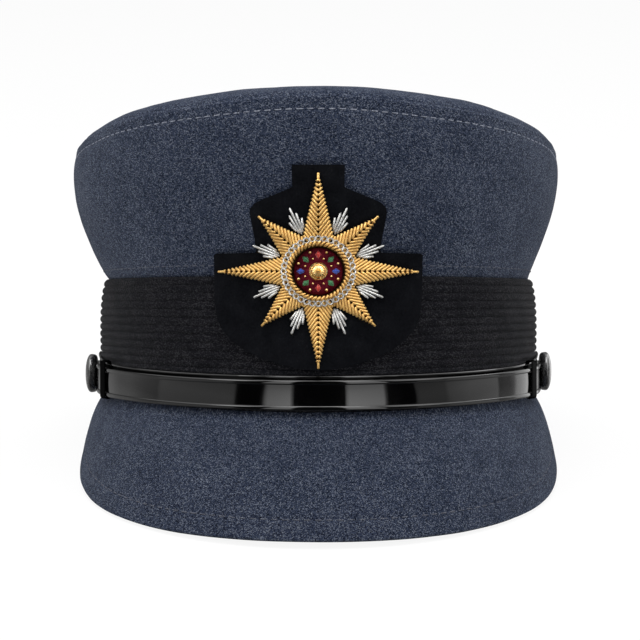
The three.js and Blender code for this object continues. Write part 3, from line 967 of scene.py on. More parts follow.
# %% Standing off at the keepers
KEEPER_ANGLE = math.radians(68)
KEEPER_LIFT = 0.6
BACK_RISE = 2.2
RISE_TURN = 18  # the higher, the nearer to the buttons the climb starts


def keeper_lift(angle):
    """Full at the keeper and for 4 degrees to either side, and gone after 10 more."""
    away = abs(abs(angle) - KEEPER_ANGLE)
    share = min(max((away - math.radians(4)) / math.radians(10), 0), 1)
    return KEEPER_LIFT * (1 - share * share * (3 - 2 * share))


def stand_off(piece, rise):
    """Moves the layer out over the keepers, and up by rise towards the buttons."""
    for vertex in piece.data.vertices:
        angle = angle_of(vertex.co)
        vertex.co += oval_normal(angle) * keeper_lift(angle) * MM
        vertex.co.z += rise * math.sin(angle) ** RISE_TURN * MM


print("the back layer climbs", BACK_RISE, "mm at the buttons")

# %% [markdown]
# The back layer is a plain strip with a rolled upper edge, which catches the light as a thin line
# along the braid. The roll is a round section of its own, so that it can have the glossy finish
# while the strip stays dull.

# %% The back layer and its rolled edge
BACK_LAYER = 0.6
BACK_FACE = STRAP_BACK + BACK_LAYER
BACK_TOP = STRAP_HALF + GAP
ROLL = 0.45
ROLL_SIDES = 10

strip_top = BACK_TOP - ROLL
strip_foot = 0.5 - STRAP_HALF
back_strip = strap_layer(
    [
        strap_row(STRAP_BACK, strip_foot),
        strap_row(BACK_FACE - 0.4, strip_foot),
        strap_row(BACK_FACE - 0.25, strip_foot + 0.2),
        strap_row(BACK_FACE - 0.25, strip_top - 0.15),
        strap_row(BACK_FACE - 0.35, strip_top),
        strap_row(STRAP_BACK, strip_top),
    ]
)
roll_rows = []
for i in range(ROLL_SIDES):
    turn = 2 * math.pi * i / ROLL_SIDES
    roll_rows.append(strap_row(BACK_FACE - 0.3 + ROLL * math.sin(turn), strip_top + ROLL * math.cos(turn)))
back_roll = strap_layer(roll_rows)
stand_off(back_roll, BACK_RISE)
stand_off(back_strip, BACK_RISE)
print("back layer faces:", len(back_strip.data.polygons), "and", len(back_roll.data.polygons))

# %% [markdown]
# The front layer has a raised bead along each edge, and the leather between them is padded, so
# it bulges a little. Both are rows of the section: an arc for a bead and a shallow curve between.

# %% The front layer
FRONT_WIDTH = 10.8
FRONT_HALF = FRONT_WIDTH / 2
FRONT_DROP = 0.35
FRONT_LAYER = 0.7
LAYER_GAP = 0.1
BEAD_WIDTH = 1.7
BEAD_RELIEF = 0.42
BEAD_STEPS = 8
BULGE = 0.13
BULGE_STEPS = 6


def bead_rows(face, middle):
    """A round bead on the face: rows over its back, from its lower foot to its upper one."""
    rows = []
    for i in range(BEAD_STEPS + 1):
        turn = math.pi * i / BEAD_STEPS
        up = middle - BEAD_WIDTH / 2 * math.cos(turn)
        rows.append(strap_row(face + BEAD_RELIEF * 1.3 * math.sin(turn) ** 0.8, up - FRONT_DROP))
    return rows


def bulge_rows(face):
    """The face between the two beads is a little round, as padded leather is."""
    foot = FRONT_HALF - BEAD_WIDTH
    ups = [foot * (2 * i / BULGE_STEPS - 1) for i in range(1, BULGE_STEPS)]
    return [strap_row(face + BULGE * (1 - (up / foot) ** 2), up - FRONT_DROP) for up in ups]


front_back = BACK_FACE + LAYER_GAP
front_face = front_back + FRONT_LAYER
low_edge = -FRONT_HALF - FRONT_DROP
high_edge = FRONT_HALF - FRONT_DROP
front_strip = strap_layer(
    [strap_row(front_back, low_edge), strap_row(front_face - 0.3, low_edge)]
    + bead_rows(front_face, BEAD_WIDTH / 2 - FRONT_HALF)
    + bulge_rows(front_face)
    + bead_rows(front_face, FRONT_HALF - BEAD_WIDTH / 2)
    + [strap_row(front_face - 0.3, high_edge), strap_row(front_back, high_edge)]
)
stand_off(front_strip, 0.0)
print("front layer faces:", len(front_strip.data.polygons))

# %% [markdown]
# Patent leather is a hard clear varnish over black. Its coat is glossy and never quite flat: a
# slow swell bends the reflections, fine grain shows through, and rubbed places are duller. The
# back strip and the keepers are the same leather with its varnish worn off.


# %% Patent leather
def make_patent():
    colour = (0.001, 0.001, 0.0011, 1)
    finish = {"roughness": 0.3, "coat_weight": 1.0, "coat_roughness": 0.02, "specular_ior_level": 0.02}
    material, tree, shader = new_material("PatentLeather", colour, **finish)
    where = add_node(tree, "TexCoord").outputs["Object"]
    swell = add_node(tree, "TexNoise", {"Scale": 38.0, "Detail": 1.0, "Roughness": 0.4})
    wire(tree, (where, swell.inputs["Vector"]))
    grain = add_node(tree, "TexVoronoi", {"Scale": 1300.0})
    wire(tree, (where, grain.inputs["Vector"]))
    rub = add_node(tree, "TexNoise", {"Scale": 120.0, "Detail": 5.0, "Roughness": 0.65})
    wire(tree, (where, rub.inputs["Vector"]))
    wire(tree, (ramp(tree, rub.outputs[0], ((0.35, 0.14), (0.75, 0.34))), shader.inputs["Roughness"]))
    stops = ((0.35, (0.0005, 0.0005, 0.0006, 1)), (0.8, (0.0016, 0.0016, 0.0017, 1)))
    wire(tree, (ramp(tree, rub.outputs[0], stops), shader.inputs["Base Color"]))
    broad = add_node(tree, "Bump", {"Strength": 0.35, "Distance": 0.8 * MM})
    wire(tree, (swell.outputs[0], broad.inputs["Height"]), (broad.outputs[0], shader.inputs["Coat Normal"]))
    bump(tree, grain.outputs["Distance"], 0.12, 0.08 * MM, shader, broad.outputs[0])
    return material


patent = make_patent()
dull_leather = patent.copy()
dull_leather.name = "DullLeather"
dull_shader = dull_leather.node_tree.nodes["Principled BSDF"]
dull_shader.inputs["Coat Weight"].default_value = 0.03
dull_shader.inputs["Specular IOR Level"].default_value = 0.0
for layer in (back_strip, front_strip, back_roll):
    smooth(layer, 35)
finish_piece(back_strip, "strap_back_layer", "patent", dull_leather, "chin_strap_inner")
finish_piece(back_roll, "strap_back_edge", "patent", patent)
finish_piece(front_strip, "strap_front_layer", "patent", patent, "chin_strap_outer")

# %% [markdown]
# ## The keepers
# A keeper is a flat leather loop that holds the two layers together near each button. It starts
# as a plane as big as the loop's hole. With its face deleted only the outline is left; the
# corners are bevelled, the outline is extruded to the loop's width, and Solidify gives it the
# leather's thickness.

# %% One keeper
KEEPER_WIDTH = 7.0
KEEPER_LEATHER = 0.4
KEEPER_CLEARANCE = 0.12
KEEPER_STEPS = 3


def make_keeper():
    """A loop with its own X pointing outwards, Y up and Z along the strap."""
    both_layers = BACK_LAYER + LAYER_GAP + FRONT_LAYER + BEAD_RELIEF
    back = STRAP_BACK + KEEPER_LIFT - KEEPER_CLEARANCE
    front = STRAP_BACK + KEEPER_LIFT + both_layers + KEEPER_CLEARANCE
    climb = BACK_RISE * math.sin(KEEPER_ANGLE) ** RISE_TURN
    bottom = -STRAP_HALF - 2 * KEEPER_CLEARANCE
    top = BACK_TOP + climb + 2 * KEEPER_CLEARANCE
    let_go()
    bpy.ops.mesh.primitive_plane_add(size=MM)
    bpy.ops.object.mode_set(mode="EDIT")
    bpy.ops.mesh.select_all(action="SELECT")
    bpy.ops.mesh.delete(type="ONLY_FACE")
    bpy.ops.mesh.select_all(action="SELECT")
    bpy.ops.transform.resize(value=(front - back, top - bottom, 1), center_override=(0, 0, 0))
    middle = ((front + back) / 2 * MM, (top + bottom) / 2 * MM, -KEEPER_WIDTH / 2 * MM)
    bpy.ops.transform.translate(value=middle)
    bpy.ops.mesh.bevel(offset=0.9 * MM, segments=4, affect="VERTICES")
    bpy.ops.mesh.select_all(action="SELECT")
    for _ in range(KEEPER_STEPS):
        bpy.ops.mesh.extrude_region_move()
        bpy.ops.transform.translate(value=(0, 0, KEEPER_WIDTH / KEEPER_STEPS * MM))
    close_edit()
    keeper = bpy.context.object
    outwards(keeper)
    give(keeper, "SOLIDIFY", thickness=KEEPER_LEATHER * MM, offset=1.0)
    give(keeper, "BEVEL", width=0.18 * MM, segments=3, limit_method="ANGLE", angle_limit=math.radians(50))
    smooth(keeper, 40)
    return keeper


keeper = make_keeper()
print("a keeper has", len(keeper.data.polygons), "faces")

# %% [markdown]
# One loop is modelled and copied, and each is set across the strap at the same angle from the
# front. Its matrix is made of three directions: outwards, up, and along the strap.

# %% Setting the two keepers
SIDES = ((1, "right"), (-1, "left"))


def place_keeper(keeper, side):
    angle = side * KEEPER_ANGLE
    outward = oval_normal(angle)
    up = Vector((0, 0, 1))
    across_strap = Matrix((outward, up, outward.cross(up))).transposed().to_4x4()
    spot = oval_point(angle, 0, STRAP_SIDE_HEIGHT - STRAP_DIP * math.cos(angle))
    keeper.data.transform(Matrix.Translation(spot) @ across_strap)


def copy_piece(piece):
    """A copy with a mesh of its own."""
    twin = piece.copy()
    twin.data = piece.data.copy()
    bpy.context.collection.objects.link(twin)
    return twin


for side, word in SIDES:
    loop = copy_piece(keeper) if side == 1 else keeper
    place_keeper(loop, side)
    finish_piece(loop, "keeper_loop_" + word, "patent", dull_leather, "strap_keeper_" + word)

# %% [markdown]
# ## The buttons
# A black button faces straight out over each end of the strap. It is turned work, so a stack of
# round rings gives it: a short neck, a back plate, a rounded side and a shallow dome.

# %% One button
BUTTON_RADIUS = 7.5
BUTTON_DEPTH = 4.5
BUTTON_SIDES = 64
NECK_RADIUS = 3.6
NECK_LENGTH = 1.0
DOME_FOOT = 2.4  # where the dome starts, from the back plate
DOME_STEPS = 14


def fill_ends(piece):
    """Closes the open first and last rings of a stack."""
    edit(piece)
    bpy.ops.mesh.select_non_manifold()
    bpy.ops.mesh.edge_face_add()
    close_edit()


def make_button():
    rows = [(NECK_RADIUS, -NECK_LENGTH), (NECK_RADIUS, -0.1), (NECK_RADIUS + 0.4, 0.0)]
    rows += [(6.3, 0.05), (6.9, 0.3), (7.35, 0.9), (7.48, 1.8), (BUTTON_RADIUS, DOME_FOOT)]
    for i in range(1, DOME_STEPS + 1):
        turn = math.radians(90 - 88 * i / DOME_STEPS)
        rise = (BUTTON_DEPTH - DOME_FOOT) * math.cos(turn)
        rows.append((BUTTON_RADIUS * math.sin(turn) ** 0.8, DOME_FOOT + rise))
    button = stack_rings([(radius, radius, height, 0) for radius, height in rows], BUTTON_SIDES)
    fill_ends(button)
    outwards(button)
    smooth(button, 40)
    return button


button = make_button()
print("a button has", len(button.data.polygons), "faces")

# %% [markdown]
# The buttons are black and glossy, but handled: small marks vary their roughness and tone. No two
# are sewn on quite level, so the right one sits a little higher.

# %% Black gloss and the two buttons
BUTTON_SEAT = 86.8  # from the hat's middle to a button's back plate
RIGHT_BUTTON_RISE = 0.8


def make_gloss():
    colour = (0.006, 0.006, 0.007, 1)
    finish = {"roughness": 0.35, "coat_weight": 1.0, "coat_roughness": 0.2, "specular_ior_level": 0.5}
    material, tree, shader = new_material("BlackGloss", colour, **finish)
    where = add_node(tree, "TexCoord").outputs["Object"]
    marks = add_node(tree, "TexNoise", {"Scale": 420.0, "Detail": 4.0})
    wire(tree, (where, marks.inputs["Vector"]))
    wire(tree, (ramp(tree, marks.outputs[0], ((0.35, 0.16), (0.75, 0.4))), shader.inputs["Roughness"]))
    stops = ((0.3, (0.012, 0.012, 0.013, 1)), (0.8, (0.03, 0.03, 0.031, 1)))
    wire(tree, (ramp(tree, marks.outputs[0], stops), shader.inputs["Base Color"]))
    bump(tree, marks.outputs[0], 0.08, 0.1 * MM, shader)
    return material


gloss = make_gloss()
for side, word in SIDES:
    disc = copy_piece(button) if side == 1 else button
    turned = Matrix.Rotation(side * math.pi / 2, 4, "Y")
    height = STRAP_SIDE_HEIGHT + (RIGHT_BUTTON_RISE if side == 1 else 0)
    spot = Vector((side * BUTTON_SEAT, 0, height)) * MM
    disc.data.transform(Matrix.Translation(spot) @ turned)
    finish_piece(disc, "side_button_" + word, "button", gloss, "button_" + word)

# %% [markdown]
# ## Bending flat work onto the front
# The badge is worked flat and then sewn to the hat, where it bends round the band and up onto the
# crown. Its pieces are modelled flat too, X to the side, Y up and Z outwards, and one rule bends
# them: X goes round the oval, and how far they stand out follows a smooth curve of the height.

# %% The bend
BADGE_HEIGHT = 50.0
PATCH_PROFILE = ((10, 0.45), (30, 0.75), (46, 0.8), (56, 1.1), (66, 3.8), (76, 6.6), (92, 9.5))
FOOT_SLOPE = 0.02
TAB_SLOPE = 0.17


def profile_slope(index):
    """How steeply the profile leans out at one of its rows."""
    if index == 0:
        return FOOT_SLOPE
    if index == len(PATCH_PROFILE) - 1:
        return TAB_SLOPE
    below, above = PATCH_PROFILE[index - 1], PATCH_PROFILE[index + 1]
    return (above[1] - below[1]) / (above[0] - below[0])


def patch_out(height):
    """A smooth curve through the profile's rows of height and distance from the oval."""
    last = len(PATCH_PROFILE) - 2
    row = max(index for index in range(last + 1) if height >= PATCH_PROFILE[index][0] or index == 0)
    (low, low_out), (high, high_out) = PATCH_PROFILE[row], PATCH_PROFILE[row + 1]
    span = high - low
    share = (height - low) / span
    rest = 1 - share
    start = (1 + 2 * share) * rest**2 * low_out + share * rest**2 * span * profile_slope(row)
    end = share * share * (3 - 2 * share) * high_out
    return start + end - share * share * rest * span * profile_slope(row + 1)


def bend_on_front(piece):
    for vertex in piece.data.vertices:
        x, y, lift = (c / MM for c in vertex.co)
        height = BADGE_HEIGHT + y
        angle = math.asin(min(max(x / HALF_WIDTH, -1), 1))
        vertex.co = oval_point(angle, patch_out(height) + lift, height)


print("the badge's middle stands out", round(patch_out(BADGE_HEIGHT), 2), "mm from the oval")

# %% [markdown]
# ## The felt patch
# The badge is sewn on black felt, cut with a tab at the top, wide shoulders and a rounded
# bottom. A grid takes that outline row by row: each row is drawn out to the patch's half width
# at its height. Two rows lie close together wherever the outline steps out.

# %% The patch
FELT = 1.2
PATCH_COLUMNS = 44
PATCH_ROWS = (
    (87.2, 7.9), (87.0, 8.2), (79.6, 8.2), (79.0, 9.0), (77.3, 12.9), (75.4, 17.4), (73.8, 20.6),
    (72.2, 21.9), (70.6, 22.3), (67.0, 22.0), (62.0, 21.5), (57.0, 21.3), (56.6, 21.8), (56.5, 35.4),
    (56.0, 36.2), (50.0, 36.2), (44.0, 36.1), (38.0, 35.8), (34.0, 35.3), (30.0, 33.7), (26.0, 30.5),
    (22.5, 26.0), (19.5, 20.3), (17.2, 13.4), (15.8, 7.4), (15.1, 2.5),
)


def patch_place(across, along):
    step = along * (len(PATCH_ROWS) - 1)
    i = min(int(step + 0.001), len(PATCH_ROWS) - 2)
    (top, top_reach), (bottom, bottom_reach) = PATCH_ROWS[i], PATCH_ROWS[i + 1]
    height = top + (bottom - top) * (step - i)
    reach = top_reach + (bottom_reach - top_reach) * (step - i)
    return Vector(((2 * across - 1) * reach, height - BADGE_HEIGHT, 0)) * MM


patch = lay_grid(PATCH_COLUMNS, (len(PATCH_ROWS) - 1) * 2, patch_place)
edit(patch)
bpy.ops.mesh.select_all(action="SELECT")
bpy.ops.mesh.normals_make_consistent(inside=False)
bpy.ops.mesh.extrude_region_move()
bpy.ops.transform.translate(value=(0, 0, FELT * MM))
close_edit()
outwards(patch)
give(patch, "BEVEL", width=0.25 * MM, segments=2, limit_method="ANGLE", angle_limit=math.radians(60))
bend_on_front(patch)
smooth(patch, 50)
print("patch faces:", len(patch.data.polygons))

# %% [markdown]
# Felt swallows light. A fine noise stands for its hairs and a broader one for the clumps that
# they make, and both together are its tone and its height.


# %% Black felt
def make_felt():
    colour = (0.0042, 0.0045, 0.0055, 1)
    finish = {"roughness": 1.0, "sheen_weight": 0.01, "specular_ior_level": 0.0}
    material, tree, shader = new_material("BlackFelt", colour, **finish)
    where = add_node(tree, "TexCoord").outputs["Object"]
    hair = add_node(tree, "TexNoise", {"Scale": 1400.0, "Detail": 3.0, "Roughness": 0.7})
    wire(tree, (where, hair.inputs["Vector"]))
    clumps = add_node(tree, "TexNoise", {"Scale": 160.0, "Detail": 2.0})
    wire(tree, (where, clumps.inputs["Vector"]))
    clumped = calculate(tree, "MULTIPLY", clumps.outputs[0], 0.4)
    shade = calculate(tree, "MULTIPLY_ADD", hair.outputs[0], 0.6, clumped)
    deep, black, dusty = (0.0028, 0.003, 0.0038, 1), (0.0065, 0.007, 0.0085, 1), (0.02, 0.02, 0.022, 1)
    tones = ramp(tree, shade, ((0.35, deep), (0.62, black), (0.8, dusty)))
    wire(tree, (tones, shader.inputs["Base Color"]))
    bump(tree, shade, 0.6, 0.3 * MM, shader)
    return material


finish_piece(patch, "felt_patch", "felt", make_felt(), "badge_backing")

# %% [markdown]
# ## Bullion
# Bullion is fine metal wire wound into a hollow coil, cut into short lengths and sewn down like
# beads. Seen from near, each length shows its turns. One material serves gold and silver: metal
# with the turns as a bump along the piece's own map, and a random tarnish in patches.


# %% The group for wound wire
def make_coil_group():
    """The turns of a coil along u, in metres, and a slow tarnish."""
    group, inside, outside = new_group(
        "WoundWire",
        [("Map", "NodeSocketVector", None), ("Place", "NodeSocketVector", None)],
        [("Turns", "NodeSocketFloat"), ("Tarnish", "NodeSocketFloat")],
    )
    turns = add_node(group, "TexWave", {"Scale": 1750.0}, bands_direction="DIAGONAL")
    patches = add_node(group, "TexNoise", {"Scale": 420.0, "Detail": 3.0, "Roughness": 0.6})
    wire(
        group,
        (inside.outputs["Map"], turns.inputs["Vector"]),
        (inside.outputs["Place"], patches.inputs["Vector"]),
        (turns.outputs["Fac"], outside.inputs["Turns"]),
        (patches.outputs[0], outside.inputs["Tarnish"]),
    )
    return group


coil_group = make_coil_group()
print("nodes in the wire group:", len(coil_group.nodes))

# %% [markdown]
# Gold and silver are the same wire with their own tones: bright metal with painted shade that
# darkens the grooves between the turns, and duller and rougher where it has tarnished.


# %% Gold and silver wire
def make_wire(name, bright, dull, roughness):
    material, tree, shader = new_material(name, bright, metallic=0.8, roughness=roughness)
    where = add_node(tree, "UVMap", uv_map="Cloth")
    place = add_node(tree, "TexCoord")
    coil = add_node(tree, "Group", node_tree=coil_group)
    wire(tree, (where.outputs[0], coil.inputs["Map"]), (place.outputs["Object"], coil.inputs["Place"]))
    share = ramp(tree, coil.outputs["Tarnish"], ((0.35, 0.0), (0.75, 1.0)))
    # Painted shade: the colour is darkened to 0.6 in the grooves between the turns, where shade falls.
    groove = ramp(tree, coil.outputs["Turns"], ((0.0, 0.6), (0.5, 1.0)))
    colour = blend_colours(tree, share, bright, dull)
    wire(tree, (blend_colours(tree, 1.0, colour, groove, "MULTIPLY"), shader.inputs["Base Color"]))
    rubbed = ((0.3, roughness - 0.06), (0.8, roughness + 0.16))
    wire(tree, (ramp(tree, coil.outputs["Tarnish"], rubbed), shader.inputs["Roughness"]))
    bump(tree, coil.outputs["Turns"], 0.6, 0.12 * MM, shader)
    return material


gold_wire = make_wire("GoldBullion", (0.98, 0.63, 0.22, 1), (0.72, 0.42, 0.13, 1), 0.32)
silver_wire = make_wire("SilverBullion", (0.82, 0.82, 0.8, 1), (0.55, 0.54, 0.52, 1), 0.26)
print("wires:", gold_wire.name, silver_wire.name)

# %% [markdown]
# ## One strand, copied
# All the work in wire is made from one strand: a thin tube with narrowed ends. It could be a
# curve with a bevel, but hundreds of curves are heavy, and a few extruded rings are not.

# %% The strand
STRAND_SIDES = 8
STRAND_STEPS = 6
TIP_LENGTH = 0.04
TIP_SHARE = 0.35  # a tip's radius, as a share of the strand's


def make_strand():
    """A tube of length one along X with a radius of one millimetre."""
    body = 1 - 2 * TIP_LENGTH
    let_go()
    bpy.ops.mesh.primitive_circle_add(vertices=STRAND_SIDES, radius=TIP_SHARE * MM, fill_type="NGON")
    bpy.ops.object.mode_set(mode="EDIT")
    bpy.ops.mesh.select_all(action="SELECT")
    bpy.ops.mesh.extrude_region_move()
    bpy.ops.transform.translate(value=(0, 0, TIP_LENGTH))
    bpy.ops.transform.resize(value=(1 / TIP_SHARE, 1 / TIP_SHARE, 1), center_override=(0, 0, TIP_LENGTH))
    for _ in range(STRAND_STEPS):
        bpy.ops.mesh.extrude_region_move()
        bpy.ops.transform.translate(value=(0, 0, body / STRAND_STEPS))
    bpy.ops.mesh.extrude_region_move()
    bpy.ops.transform.translate(value=(0, 0, TIP_LENGTH))
    bpy.ops.transform.resize(value=(TIP_SHARE, TIP_SHARE, 1), center_override=(0, 0, 1))
    close_edit()
    strand = bpy.context.object
    outwards(strand)
    strand.data.transform(Matrix.Rotation(math.pi / 2, 4, "Y"))
    smooth(strand, 60)
    return strand


strand = make_strand()
print("a strand has", len(strand.data.polygons), "faces")

# %% [markdown]
# Every copy is stretched to its length, turned and set down at its place, and its middle rises
# where it passes over the padding. Its map is stretched with it, so that the turns keep their
# pitch. At the end the copies are joined to one piece.


# %% Setting strands
def set_strand(start, end, radius, arch):
    """A copy of the strand between two places (x, y, lift), all in millimetres."""
    start, end = Vector(start), Vector(end)
    way = end - start
    turn = math.atan2(way.y, way.x)
    mesh = strand.data.copy()
    layer = mesh.uv_layers.new(name="Cloth")
    for loop in mesh.loops:
        spot = mesh.vertices[loop.vertex_index].co
        round_axis = math.atan2(spot.z, spot.y) * radius * 0.3
        layer.data[loop.index].uv = (spot.x * way.length * MM, round_axis * MM)
    for vertex in mesh.vertices:
        along = vertex.co.x
        across = Vector((-math.sin(turn), math.cos(turn), 0)) * (vertex.co.y / MM * radius)
        spot = start + way * along + across
        spot.z += vertex.co.z / MM * radius + arch * 4 * along * (1 - along)
        vertex.co = spot * MM
    piece = bpy.data.objects.new("strand", mesh)
    bpy.context.collection.objects.link(piece)
    return piece


def join(pieces):
    """Makes one piece of several."""
    let_go()
    for piece in pieces:
        piece.select_set(True)
    bpy.context.view_layer.objects.active = pieces[0]
    bpy.ops.object.join()
    return bpy.context.object


# %% [markdown]
# ## The star
# The star has eight rays, four long and four short. The padding under it is the solid star,
# painted in dull gold darkened with painted shade. Over it the strands lie in a herringbone: from a
# ray's middle line they slant out to both edges, and towards the tip they get shorter. Three small
# rules say how wide the ray is, how long a strand is, and how high the padding stands under it.

# %% Measuring a ray
STAR_SEAT = FELT + 0.45
STAR_EDGE = 0.6
STAR_CREST = 1.5
STAR_HOLE = 8.6
RAY_COUNT = 8
LONG_RAY = 34.0
SHORT_RAY = 27.0
VALLEY_RADIUS = 13.0
HUB = 9.4
STRAND_SLANT = math.radians(34)
STRAND_TRY = 0.05
LONGEST_STRAND = 14
RAY_HALF = math.pi / RAY_COUNT


def ray_width(along, tip):
    """Half the ray's width at a distance from the star's middle."""
    valley = VALLEY_RADIUS * math.cos(RAY_HALF)
    side = VALLEY_RADIUS * math.sin(RAY_HALF)
    if along < valley:
        return along * math.tan(RAY_HALF)
    return side * (tip - along) / (tip - valley)


def strand_span(start, tip):
    """Where a slanted strand leaves the hub and where it meets the ray's edge, along itself."""
    ahead, aside = math.cos(STRAND_SLANT), math.sin(STRAND_SLANT)
    first = 0.0
    while math.hypot(start + first * ahead, first * aside) < HUB:
        first += STRAND_TRY
    last = first
    while last < LONGEST_STRAND and last * aside < ray_width(start + last * ahead, tip) - STRAND_TRY:
        last += STRAND_TRY
    return first, last


def on_ray(ray, along, aside, lift):
    """A place on a ray: along it, to its side, and above the felt."""
    turn = 2 * math.pi * ray / RAY_COUNT
    ahead = Vector((math.sin(turn), math.cos(turn), 0))
    beside = Vector((math.cos(turn), -math.sin(turn), 0))
    return ahead * along + beside * aside + Vector((0, 0, lift))


def crest_height(along, tip):
    """The padding is highest along the middle line and sinks towards the tip."""
    sink = 1 - 0.5 * max(along - STAR_HOLE, 0) / (tip - STAR_HOLE)
    return STAR_SEAT + STAR_EDGE + (STAR_CREST - STAR_EDGE) * sink


for tip in (LONG_RAY, SHORT_RAY):
    print("a ray", tip, "mm long is padded up to", round(crest_height(HUB, tip), 2), "mm above the band")

# %% [markdown]
# The strands are laid pair by pair from the hub outwards, and one more closes each tip.

# %% Herringbone rays
STRAND_RADIUS = 0.49
STRAND_PITCH = 1.72
FIRST_STRAND = 3.9
SHORTEST_STRAND = 0.7
TIP_STRAND_RADIUS = 0.45


def pad_lift(along, aside, tip, sink):
    """A strand's height over the padding: it sinks from the middle line towards the ray's edge."""
    share = min(aside / max(ray_width(along, tip), 0.1), 1)
    return crest_height(along, tip) + 0.25 - share * sink


strands = []
for ray in range(RAY_COUNT):
    tip = SHORT_RAY if ray % 2 else LONG_RAY
    start = FIRST_STRAND
    while start < tip - 1.6:
        first, last = strand_span(start, tip)
        for hand in (-1, 1):
            ends = []
            for reach, sink in ((first, 0.5), (last, 0.75)):
                along = start + reach * math.cos(STRAND_SLANT)
                aside = reach * math.sin(STRAND_SLANT)
                ends.append(on_ray(ray, along, hand * (aside + 0.1), pad_lift(along, aside, tip, sink)))
            if last - first >= SHORTEST_STRAND:
                strands.append(set_strand(*ends, STRAND_RADIUS, 0.3))
        start += STRAND_PITCH
    low_end = on_ray(ray, tip - 2.6, 0, STAR_SEAT + 0.95)
    high_end = on_ray(ray, tip + 0.4, 0, STAR_SEAT + 0.35)
    strands.append(set_strand(low_end, high_end, TIP_STRAND_RADIUS, 0.1))
print("strands in the star:", len(strands))
star = join(strands)
bend_on_front(star)
finish_piece(star, "bullion_star", "gold", gold_wire)

# %% [markdown]
# The padding under the strands is the solid itself. It keeps its mesh and only gets a finish: a
# yellow felt painted darker with the shade that falls between the wires, so it shows as dark gold lines.


# %% Padding
def make_padding():
    colour = (0.04, 0.022, 0.007, 1)
    material, tree, shader = new_material("ShadedYellowPadding", colour, roughness=0.9, specular_ior_level=0.1)
    where = add_node(tree, "TexCoord").outputs["Object"]
    hair = add_node(tree, "TexNoise", {"Scale": 1500.0, "Detail": 3.0})
    wire(tree, (where, hair.inputs["Vector"]))
    # Both stops are the yellow felt darkened with painted shade, the shade between the wires; the noise is
    # its hairs.
    stops = ((0.35, (0.02, 0.01, 0.003, 1)), (0.7, (0.07, 0.038, 0.012, 1)))
    wire(tree, (ramp(tree, hair.outputs[0], stops), shader.inputs["Base Color"]))
    bump(tree, hair.outputs[0], 0.4, 0.2 * MM, shader)
    return material


solid_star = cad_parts["badge_star"]
solid_star.data.materials.clear()
solid_star.data.materials.append(make_padding())
print("the padding is", solid_star.name)

# %% [markdown]
# ## Silver between the rays
# In each valley of the star lies a fan of silver strands, a long one in the middle and shorter
# ones beside it. They are copies of the same strand, a little thinner and more arched.

# %% Silver fans
FAN = ((0, 14.0, 24.0), (0.95, 14.6, 21.6), (-0.95, 14.6, 21.6), (1.8, 15.6, 19.4), (-1.8, 15.6, 19.4))
SILVER_RADIUS = 0.42
silver_pieces = []
for valley in range(RAY_COUNT):
    for aside, start, end in FAN:
        low_end = on_ray(valley + 0.5, start, aside * 0.7, STAR_SEAT + 0.35)
        high_end = on_ray(valley + 0.5, end, aside * 1.25, STAR_SEAT + 0.2)
        silver_pieces.append(set_strand(low_end, high_end, SILVER_RADIUS, 0.45))
print("silver strands:", len(silver_pieces))

# %% [markdown]
# A row of small silver loops runs round the middle. A loop is a torus, modelled once and copied,
# and its map is stretched so that its turns are as fine as the strands'.

# %% Silver loops
LOOP_RADIUS = 0.92
LOOP_THICKNESS = 0.3
LOOP_COUNT = 36
LOOP_CIRCLE = 11.4
LOOP_TILT = math.radians(-12)


def make_loop():
    let_go()
    radii = {"major_radius": LOOP_RADIUS * MM, "minor_radius": LOOP_THICKNESS * MM}
    bpy.ops.mesh.primitive_torus_add(major_segments=14, minor_segments=6, **radii)
    loop_shape = bpy.context.object
    for place in cloth_layer(loop_shape.data).data:
        place.uv = (place.uv[0] * 6.0 * MM, place.uv[1] * 1.6 * MM)
    return loop_shape


loop_shape = make_loop()
for i in range(LOOP_COUNT):
    loop = copy_piece(loop_shape)
    spot = on_ray(i * RAY_COUNT / LOOP_COUNT, LOOP_CIRCLE, 0, STAR_SEAT + STAR_CREST + 0.95)
    around = Matrix.Rotation(-2 * math.pi * i / LOOP_COUNT, 4, "Z")
    tilted = Matrix.Rotation(LOOP_TILT, 4, "X")
    loop.data.transform(Matrix.Translation(spot * MM) @ around @ tilted)
    silver_pieces.append(loop)
bpy.data.objects.remove(loop_shape)
print("silver strands and loops:", len(silver_pieces))

# %% [markdown]
# Strands and loops become one piece, which stands in for all eight solid silver rays.

# %% One silver piece
silver = join(silver_pieces)
bend_on_front(silver)
smooth(silver, 60)
silver_rays = ["badge_silver_ray_%d" % (i + 1) for i in range(RAY_COUNT)]
finish_piece(silver, "silver_purl", "silver", silver_wire, *silver_rays)

# %% [markdown]
# ## The rope ring
# A gold rope frames the velvet. A rope looks twisted because each strand shows as a row of
# slanted beads, so one egg shaped bead is set round the ring again and again, slanted each time.

# %% One bead
BEAD_SHAPE = (1.25, 0.5, 0.95)


def make_bead():
    let_go()
    bpy.ops.mesh.primitive_uv_sphere_add(segments=10, ring_count=7, radius=MM)
    bead = bpy.context.object
    bead.data.transform(Matrix.Diagonal((*BEAD_SHAPE, 1)))
    for place in cloth_layer(bead.data).data:
        place.uv = (place.uv[1] * 2.6 * MM, place.uv[0] * 3.0 * MM)
    return bead


bead = make_bead()
print("a bead has", len(bead.data.polygons), "faces")

# %% [markdown]
# The slant is the same for every bead: the rope's own twist, seen against the ring.

